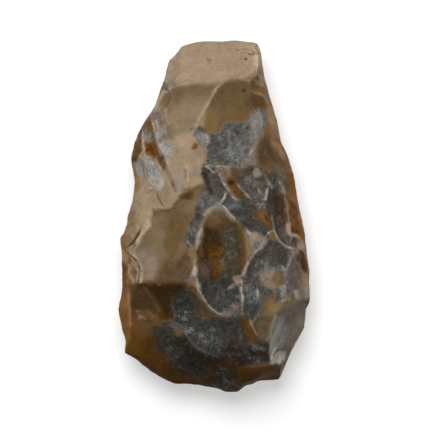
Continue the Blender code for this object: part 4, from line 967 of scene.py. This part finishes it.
# thin pale veins: half width and route
paint["veins"] = [
    (0.24, [(-19.8, 31.2), (-18.8, 28.6), (-17.9, 25.4), (-17.2, 22.4), (-15.6, 19.8), (-14.3, 16.4),
        (-13.2, 13.4)]),
    (0.2, [(-22.1, 26.8), (-22, 23.4), (-21.7, 20.4), (-21.3, 17.4), (-21.2, 14.6), (-21.2, 12.6)]),
    (0.1, [(-15.2, 16.8), (-14, 13.2), (-12.6, 9.8), (-11.2, 6.8)]),
    (0.16, [(-20.6, 9.2), (-18.4, 8.4), (-16.2, 9), (-15.6, 10.6)]),
    (0.16, [(13.4, 22.8), (11.5, 20), (10.1, 17.9), (8.8, 16.3), (7, 15.4)]),
    (0.16, [(4.6, 14.9), (3, 15.4), (1, 15.4), (-1.8, 15.6)]),
    (0.16, [(-3.6, 15.4), (-2, 15.1), (-0.8, 14.4), (0, 13.4)]),
    (0.18, [(0.9, 14.4), (2.1, 12.2), (3, 10.2), (4.2, 8.6), (5.4, 6.6), (7, 5), (8.6, 4.9)]),
    (0.16, [(7.4, 9.6), (8.8, 8), (10.2, 6.6), (11.8, 5.2)]),
    (0.24, [(3.5, 7.2), (3.1, 6), (2.5, 4.8), (3.2, 4.2)]),
    (0.18, [(0.6, 4), (2, 3.7), (3.2, 2.9), (4.6, 1.2), (5.8, -0.2), (7.4, -1.6)]),
    (0.16, [(9.6, -3.8), (10.4, -4.8), (11.4, -5.6)]),
    (0.20, [(-3.6, -3.4), (-4.4, -5.6), (-5.2, -8.4), (-5.5, -10)]),
    (0.16, [(-5.3, -12), (-5.9, -15.6), (-5.7, -18.4), (-5, -20.4)]),
    (0.26, [(-5.2, -19), (-4.9, -22), (-3.9, -24.2), (-2.6, -26.3), (-1, -28.3), (0.6, -29.6), (2.4, -30.5)]),
    (0.14, [(-4.6, -20.4), (-4, -23), (-3, -25.4)]),
    (0.20, [(13, -10.8), (11.8, -12.4), (10.6, -14.6), (9.6, -16.6), (8.8, -18.6), (8.5, -21), (8.6, -23.6),
        (9, -25.2), (8.8, -28), (8.5, -31.2)]),
    (0.22, [(15.6, -7.4), (14.8, -9.2), (13.2, -10.8)]),
    (0.20, [(16.9, 9.6), (16.5, 8), (16.3, 6.4), (16, 5)]),
    (0.16, [(16.4, 10.4), (17.4, 9.8), (18, 8.6)]),
    (0.18, [(18.3, -3.2), (18.9, -4.9), (20, -7), (21.8, -8.8), (23.8, -9.9), (25.8, -9.8), (27.4, -8.2)]),
    (0.16, [(15.6, -7), (16.8, -5.4), (18.6, -4.4)]),
    (0.14, [(24.4, -10.6), (24, -13), (23, -15.4), (21.9, -17.6)]),
    (0.20, [(21.4, -15.4), (21.8, -16.8)]),
    (0.18, [(13.6, -21.8), (13.8, -23.6), (13.7, -25.6)]),
    (0.12, [(14.2, 2.6), (15, 4), (15.6, 5.4)]),
    (0.12, [(18, 0), (18.4, -2), (18.8, -4)]),
    (0.12, [(20.4, 10.8), (21.6, 9), (22.2, 7)]),
    (0.12, [(-8.6, -7.6), (-7.4, -8.8), (-6.2, -9.2)]),
    (0.14, [(20, -26.8), (22, -26), (24.6, -25.8)]),
    (0.12, [(14, -29.8), (13, -31.4), (11.8, -32.4)]),
]

# dark cracks: half width and route
paint["cracks"] = [
    (0.26, [(-22.7, -3.6), (-23.6, -5.6), (-25.1, -8), (-26.8, -9.4)]),
    (0.2, [(-26.8, -11.6), (-25, -13), (-23.6, -14.3)]),
    (0.16, [(-24, -15.2), (-22.6, -16.4), (-22, -17.8)]),
    (0.18, [(-23.5, -17), (-23.3, -18.6), (-23.7, -20.6)]),
    (0.17, [(-17.7, 7.2), (-17, 5.4), (-16.1, 3.8), (-15.3, 2.6)]),
    (0.12, [(-20.8, 7), (-19.6, 7.7), (-18.7, 8.2)]),
    (0.14, [(-13.4, 11), (-12.6, 9), (-11.6, 7)]),
    (0.14, [(10.4, 50.6), (12.8, 50.2)]),
    (0.1, [(-2.2, 48.6), (-0.6, 48.7)]),
    (0.1, [(-1.9, 47.6), (-1.2, 47.5)]),
    (0.09, [(6.9, 51.3), (8.2, 51.9)]),
    (0.12, [(1.2, 39.6), (1.8, 38.6), (3.2, 38)]),
    (0.13, [(18.4, -43.9), (19.6, -42.4), (21.4, -41.5)]),
    (0.12, [(21.8, 6), (21.4, 2), (21.8, -1.6), (22.8, -4.6)]),
    (0.12, [(8.9, -18.8), (9.2, -21), (9, -23.4)]),
]

# dark dots: across, up, radius
paint["dots"] = [
    (-1.2, 48.2, 0.22), (1.6, 52.6, 0.14), (-2.6, 50.6, 0.13), (4.4, 49.4, 0.13), (6.4, 46.8, 0.13),
    (-5.4, 45.4, 0.13), (7.9, 43.9, 0.15), (-8.4, 50.2, 0.13), (11.2, 50.4, 0.2), (7.4, 51.9, 0.16),
    (10.0, 48.8, 0.45), (9.3, 38.7, 0.55), (5.2, 10.2, 0.6), (-15.6, 41.2, 0.35), (-14.8, 39.4, 0.25),
    (-22.7, 26.6, 0.35), (-16, 18, 0.3), (-15.2, 16.4, 0.35), (-15.8, 14.9, 0.25), (-7.2, -6.6, 0.4),
    (0, 14.4, 0.3), (13.2, -12.4, 0.3), (-25.2, -17.4, 0.3), (-24.8, -18.8, 0.25),
]


paintNoise = makeNoise(paint["seed"])


def mixIn(tint, grain, tone, places, share):
    colour, rough = tones[tone]
    tint[places] += (np.array(colour) - tint[places]) * share[:, None]
    grain[places] += (rough - grain[places]) * share


def waverBy(places, waver, shifts):  # how far the noise pushes each place across and up
    return sum(reach * np.stack([paintNoise(places + shift, size) for shift in shifts], axis=1)
               for size, reach in waver)


def paintStone():
    tint, grain = np.zeros((len(points), 3)), np.zeros(len(points))
    everywhere = np.arange(len(points))
    mixIn(tint, grain, paint["under"], everywhere, np.ones(len(points)))
    finer, finerShare = paint["hiddenLumps"]
    for one, other, size, strength, shift in paint["hidden"]:
        lumps = paintNoise(points + shift, size) + finerShare * paintNoise(points, size / finer)
        share = smoothstep(-paint["hiddenBorder"], paint["hiddenBorder"], lumps)
        mixIn(tint, grain, one, everywhere, strength * share)
        mixIn(tint, grain, other, everywhere, strength * (1 - share))
    seenTint, seenGrain = np.zeros((len(upper), 3)), np.zeros(len(upper))
    mixIn(seenTint, seenGrain, paint["ground"], np.arange(len(upper)), np.ones(len(upper)))
    steep = smoothstep(*paint["steepFrom"], normals[upper, 2])
    swayed = plan + waverBy(points[upper], paint["waver"], paint["waverShifts"])
    swayed += steep[:, None] * waverBy(points[upper], paint["sideWaver"], paint["sideWaverShifts"])
    for tone, soft, strength, corners in paint["patches"]:
        near = around(swayed, corners, soft + 1)
        share = strength * smoothstep(-soft, soft, depthInside(swayed[near], corners))
        mixIn(seenTint, seenGrain, tone, near, share)
    steady = plan + paint["strokeWaver"] * (swayed - plan)
    for tone, width, strength, corners in paint["strokes"]:
        near = around(steady, corners, 3 * width)
        gap, _, _ = nearest(steady[near], curveThrough(corners, False))
        mixIn(seenTint, seenGrain, tone, near, strength * np.exp(-(gap / width) ** 2))
    seen = smoothstep(*stone["paintFades"], points[upper, 2] - stone["edgeHeight"])
    tint[upper] += (seenTint - tint[upper]) * seen[:, None]
    grain[upper] += (seenGrain - grain[upper]) * seen
    return tint, grain


def gapTo(lines):  # distance outside the nearest of the lines
    gaps = np.full(len(points), paint["lineReach"])
    taper, thin = paint["lineTaper"]
    for width, corners in lines:
        near = around(plan, corners, paint["lineReach"])
        gap, _, along = nearest(plan[near], curveThrough(corners, False))
        ending = smoothstep(0, taper, along) * smoothstep(0, taper, 1 - along)
        gaps[upper[near]] = np.minimum(gaps[upper[near]], gap - width * (thin + (1 - thin) * ending))
    return gaps


def dotGap():
    gaps = np.full(len(points), paint["lineReach"])
    for x, y, radius in paint["dots"]:
        gaps[upper] = np.minimum(gaps[upper], np.linalg.norm(plan - (x, y), axis=1) - radius)
    return gaps


def clusterShare():
    share = np.zeros(len(points))
    none, full = paint["clusterFades"]
    for x, y, radius, strength in paint["clusters"]:
        gap = np.linalg.norm(plan - (x, y), axis=1)
        share[upper] = np.maximum(share[upper], strength * smoothstep(none * radius, full * radius, gap))
    return share


def keepValues(name, values):
    if values.ndim == 2:
        filled = np.concatenate([values, np.ones((len(values), 1))], axis=1)
        skin.attributes.new(name, 'FLOAT_COLOR', 'POINT').data.foreach_set("color", filled.ravel())
    else:
        skin.attributes.new(name, 'FLOAT', 'POINT').data.foreach_set("value", values)


print("painting the stone")
tint, grain = paintStone()
keepValues("tint", tint)
keepValues("grain", grain)
keepValues("ridge", ridge)
keepValues("veinGap", gapTo(paint["veins"]))
keepValues("crackGap", gapTo(paint["cracks"]))
keepValues("dotGap", dotGap())
keepValues("cluster", clusterShare())


class Wire:  # a node's socket, with the maths that the finishes use
    def __init__(self, tree, socket):
        self.tree = tree
        self.socket = socket

    def node(self, kind, settings=(), inputs=(), output=0):
        node = self.tree.nodes.new(kind)
        for name, value in dict(settings).items():
            setattr(node, name, value)
        for name, value in dict(inputs).items():
            if isinstance(value, Wire):
                self.tree.links.new(value.socket, node.inputs[name])
            else:
                node.inputs[name].default_value = value
        return Wire(self.tree, node.outputs[output])

    def maths(self, operation, first, second):
        return self.node('ShaderNodeMath', {"operation": operation}, {0: first, 1: second})

    def __add__(self, other):
        return self.maths('ADD', self, other)

    def __radd__(self, other):
        return self.maths('ADD', other, self)

    def __sub__(self, other):
        return self.maths('SUBTRACT', self, other)

    def __rsub__(self, other):
        return self.maths('SUBTRACT', other, self)

    def __mul__(self, other):
        return self.maths('MULTIPLY', self, other)

    def __rmul__(self, other):
        return self.maths('MULTIPLY', other, self)

    def between(self, low, high):  # 0 at low, 1 at high, smooth between
        return self.node('ShaderNodeMapRange', {"interpolation_type": 'SMOOTHSTEP'},
                         {"Value": self, "From Min": low, "From Max": high})

    def mix(self, amount, other, blend='MIX'):  # for colours
        return self.node('ShaderNodeMix', {"data_type": 'RGBA', "blend_type": blend},
                         {0: amount, 6: self, 7: other}, 2)


def newMaterial(name):
    material = bpy.data.materials.new(name)
    material.use_nodes = True
    shader = material.node_tree.nodes["Principled BSDF"]
    return material, shader, Wire(material.node_tree, None)


pale = (0.40, 0.41, 0.41, 1)
veinColour = (0.40, 0.36, 0.31, 1)
crackColour = (0.045, 0.022, 0.008, 1)
finish = {
    "roughness": 0.45,
    "specksRoughen": 0.14,
    "grainRoughens": 0.1,
    "gloss": 0.015,  # strength of the reflections
    # lump widths of the mottling
    "cloudSize": 5.0,
    "blotchSize": 1.9,
    "breakSize": 1.3,
    "speckSize": 0.6,  # grains of the grey flint
    "fineSize": 0.28,
    # how light the paint is where the lumps are low, and how much more where they are high
    "lumpRange": (0.3, 0.7),
    "mottling": (0.9, 0.2),
    "patchy": (-0.27, 0.5),  # these two are added only as far as the flint is grainy there
    "grainy": (-0.3, 0.6),
    "grit": [(0.28, 2.0, 0.3), (0.5, 2.0, 0.4), (1.7, 3.0, 0.3)],  # lump width, detail, how much
    "greyFlint": (0.2, 0.6),  # grain where it begins, and is full
    # colours laid over the painted ones, in order: where, lump width, detail, roughness, how much a cluster
    # of specks thickens it, where it begins and is full, strength, colour and blend
    "layers": [
        ("flint", 2.7, 3.0, 0.6, 0, 0.45, 0.65, 1.0, (0.78, 0.92, 1.0, 1), 'MULTIPLY'),  # cool
        ("flint", 3.6, 3.0, 0.6, 0, 0.5, 0.66, 1.0, (1.1, 0.98, 0.86, 1), 'MULTIPLY'),  # warm
        ("everywhere", 1.3, 3.0, 0.65, 0, 0.54, 0.74, 0.3, (0.150, 0.115, 0.075, 1), 'MIX'),  # dust
        ("greyFlint", 1.5, 2.0, 0.5, 0.08, 0.52, 0.78, 0.1, pale, 'MIX'),  # flecks
        ("cluster", 2.1, 2.0, 0.6, 0.1, 0.56, 0.74, 0.28, pale, 'MIX'),  # clouds
        ("cluster", 0.8, 2.0, 0.6, 0.05, 0.66, 0.76, 0.6, pale, 'MIX'),  # sparks
        ("stain", 1.1, 3.0, 0.7, 0, 0.48, 0.6, 0.85, (0.030, 0.012, 0.003, 1), 'MIX'),
        ("stain", 1.6, 3.0, 0.7, 0, 0.5, 0.7, 0.5, (0.32, 0.13, 0.025, 1), 'MIX'),
    ],
    "sharp": (0.15, 0.8),  # turn of a ridge or valley, in 1/mm, where the lighter ridges (wear and painted highlight) and the painted shade in the valleys begin and are full
    "valleyShade": (0.35, 0.6, 0.45, (0.05, 0.024, 0.008, 1)),  # painted shade in the valleys, in a dark brown: where it breaks up, share and colour
    "wearAndHighlight": (0.32, 0.6, 0.4, 1.7),  # the same, and how much lighter; the lighter ridges are partly worn edges, partly painted highlight
    # veins, the haze beside them, cracks and dots: distance, noise that roughens it and how far, distance
    # where it begins and is full, where it breaks up, share and colour
    "marks": [
        ("veinGap", "breakUp", 0.8, 0.12, -0.12, (0.32, 0.54), 0.72, veinColour),
        ("veinGap", "breakUp", 0, 0.9, 0, (0.35, 0.65), 0.22, veinColour),
        ("crackGap", "fine", 0.3, 0.12, -0.1, (), 0.85, crackColour),
        ("dotGap", "speck", 0.5, 0.3, -0.3, (), 0.85, crackColour),
    ],
    "bumpStrength": 0.35,
    "bumpDepth": 0.25,
    "bumpFrom": (0.25, 1.2, 0.2),  # shares of the fine lumps, the specks and the soft mottling
}


def makeFlint():
    material, shader, tools = newMaterial("flint")
    place = tools.node('ShaderNodeTexCoord', output="Object")

    def attribute(name, output="Fac"):
        return tools.node('ShaderNodeAttribute', {"attribute_name": name}, output=output)

    def noise(size, detail=4.0, roughness=0.6):
        return tools.node('ShaderNodeTexNoise', output="Fac", inputs={
            "Vector": place, "Scale": 1 / (size * millimetre), "Detail": detail, "Roughness": roughness})

    def scaled(colour, amount):
        return colour.node('ShaderNodeVectorMath', {"operation": 'SCALE'}, {0: colour, "Scale": amount})

    tint, cluster, rough = attribute("tint", "Color"), attribute("cluster"), attribute("grain")
    ridge = attribute("ridge")
    grain, stain = rough.maths('MAXIMUM', rough, 0), rough.maths('MAXIMUM', 0 - rough, 0)
    cloud, blotch = noise(finish["cloudSize"]), noise(finish["blotchSize"], 3.0)
    speck, fine = noise(finish["speckSize"], 2.0), noise(finish["fineSize"], 2.0)
    breakUp = noise(finish["breakSize"], 3.0)

    def lightBy(lumps, name):
        low, more = finish[name]
        return low + more * lumps.between(*finish["lumpRange"])

    light = lightBy(cloud, "mottling") * (1 + grain * lightBy(blotch, "patchy"))
    light = light * (1 + grain * lightBy(speck, "grainy"))
    grit = 1
    for size, detail, amount in finish["grit"]:
        grit = grit + (noise(size, detail) - 0.5) * amount
    colour = scaled(tint, light * grit)

    masks = {"everywhere": 1, "flint": grain, "greyFlint": grain.between(*finish["greyFlint"]),
             "cluster": cluster, "stain": stain}
    for where, size, detail, roughness, push, begin, full, strength, tone, blend in finish["layers"]:
        lumps = noise(size, detail, roughness) + cluster * push
        colour = colour.mix(lumps.between(begin, full) * masks[where] * strength, tone, blend)

    # valleys painted darker: painted shade in the creases, in a dark brown
    begin, full, share, tone = finish["valleyShade"]
    valleys = (0 - ridge).between(*finish["sharp"]) * breakUp.between(begin, full)
    colour = colour.mix(valleys * share, tone)
    # ridges painted lighter: partly worn edges, partly a painted highlight where the light catches them
    begin, full, share, lighter = finish["wearAndHighlight"]
    wornAndLitRidges = ridge.between(*finish["sharp"]) * breakUp.between(begin, full)
    colour = colour.mix(wornAndLitRidges * share, scaled(colour, lighter))
    roughening = {"breakUp": breakUp, "fine": fine, "speck": speck}
    for name, rough, reach, begin, full, broken, share, tone in finish["marks"]:
        mark = (attribute(name) + (roughening[rough] - 0.5) * reach).between(begin, full)
        if broken:
            mark = mark * blotch.between(*broken)
        colour = colour.mix(mark * share, tone)
    tools.tree.links.new(colour.socket, shader.inputs["Base Color"])

    dull = finish["roughness"] + (speck - 0.5) * finish["specksRoughen"] + grain * finish["grainRoughens"]
    tools.tree.links.new(dull.socket, shader.inputs["Roughness"])
    shader.inputs["Specular IOR Level"].default_value = finish["gloss"]
    fineShare, speckShare, cloudShare = finish["bumpFrom"]
    height = fine * fineShare + speck * grain * speckShare + cloud * cloudShare
    bump = tools.node('ShaderNodeBump', output="Normal", inputs={
        "Strength": finish["bumpStrength"], "Distance": finish["bumpDepth"] * millimetre, "Height": height})
    tools.tree.links.new(bump.socket, shader.inputs["Normal"])
    return material


print("mixing the flint's finish")
skin.materials.clear()
skin.materials.append(makeFlint())

studio = {
    "cameraDistance": 1500.0,  # above the tool's edge
    "frameHeight": 135.0,
    "lookAside": 0.7,
    "clipEnd": 10,  # in metres
    "keyAzimuth": 104.0,  # degrees from +X
    "keyElevation": 64.0,
    "keySize": 480.0,
    "keyDistance": 700.0,
    "keyPower": 4.65,
    "skyStrength": 0.26,
    "floorSize": 3000.0,
    "floorColour": (0.62, 0.62, 0.62, 1),
    "floorRoughness": 0.8,
    "floorGlow": 0.44,  # keeps the shadow as pale as on a lit table
}


def makeCamera():
    camera = bpy.data.cameras.new("camera")
    camera.lens = camera.sensor_width * studio["cameraDistance"] / studio["frameHeight"]
    camera.clip_end = studio["clipEnd"]
    holder = bpy.data.objects.new("camera", camera)
    above = stone["edgeHeight"] + studio["cameraDistance"]
    holder.location = (studio["lookAside"] * millimetre, 0, above * millimetre)
    bpy.context.scene.collection.objects.link(holder)
    bpy.context.scene.camera = holder


def makeKeyLight():
    lamp = bpy.data.lights.new("keyLight", 'AREA')
    lamp.shape = 'DISK'
    lamp.size = studio["keySize"] * millimetre
    lamp.energy = studio["keyPower"]
    holder = bpy.data.objects.new("keyLight", lamp)
    turn, rise = math.radians(studio["keyAzimuth"]), math.radians(studio["keyElevation"])
    way = Vector((math.cos(turn) * math.cos(rise), math.sin(turn) * math.cos(rise), math.sin(rise)))
    holder.location = way * studio["keyDistance"] * millimetre
    holder.rotation_euler = way.to_track_quat('Z', 'Y').to_euler()
    bpy.context.scene.collection.objects.link(holder)


def makeSky():
    world = bpy.data.worlds.new("studio")
    world.use_nodes = True
    sky = world.node_tree.nodes["Background"]
    sky.inputs["Color"].default_value = (1, 1, 1, 1)
    sky.inputs["Strength"].default_value = studio["skyStrength"]
    bpy.context.scene.world = world
    bpy.context.scene.view_settings.view_transform = 'Standard'


def makeFloor():
    sheet = bmesh.new()
    bmesh.ops.create_grid(sheet, x_segments=1, y_segments=1, size=studio["floorSize"] / 2 * millimetre)
    mesh = bpy.data.meshes.new("floor")
    sheet.to_mesh(mesh)
    sheet.free()
    floor = bpy.data.objects.new("floor", mesh)
    bpy.context.scene.collection.objects.link(floor)
    material, shader, _ = newMaterial("floorPaint")
    shader.inputs["Base Color"].default_value = studio["floorColour"]
    shader.inputs["Roughness"].default_value = studio["floorRoughness"]
    shader.inputs["Emission Color"].default_value = (1, 1, 1, 1)
    shader.inputs["Emission Strength"].default_value = studio["floorGlow"]
    mesh.materials.append(material)


print("setting up the studio")
makeCamera()
makeKeyLight()
makeSky()
makeFloor()
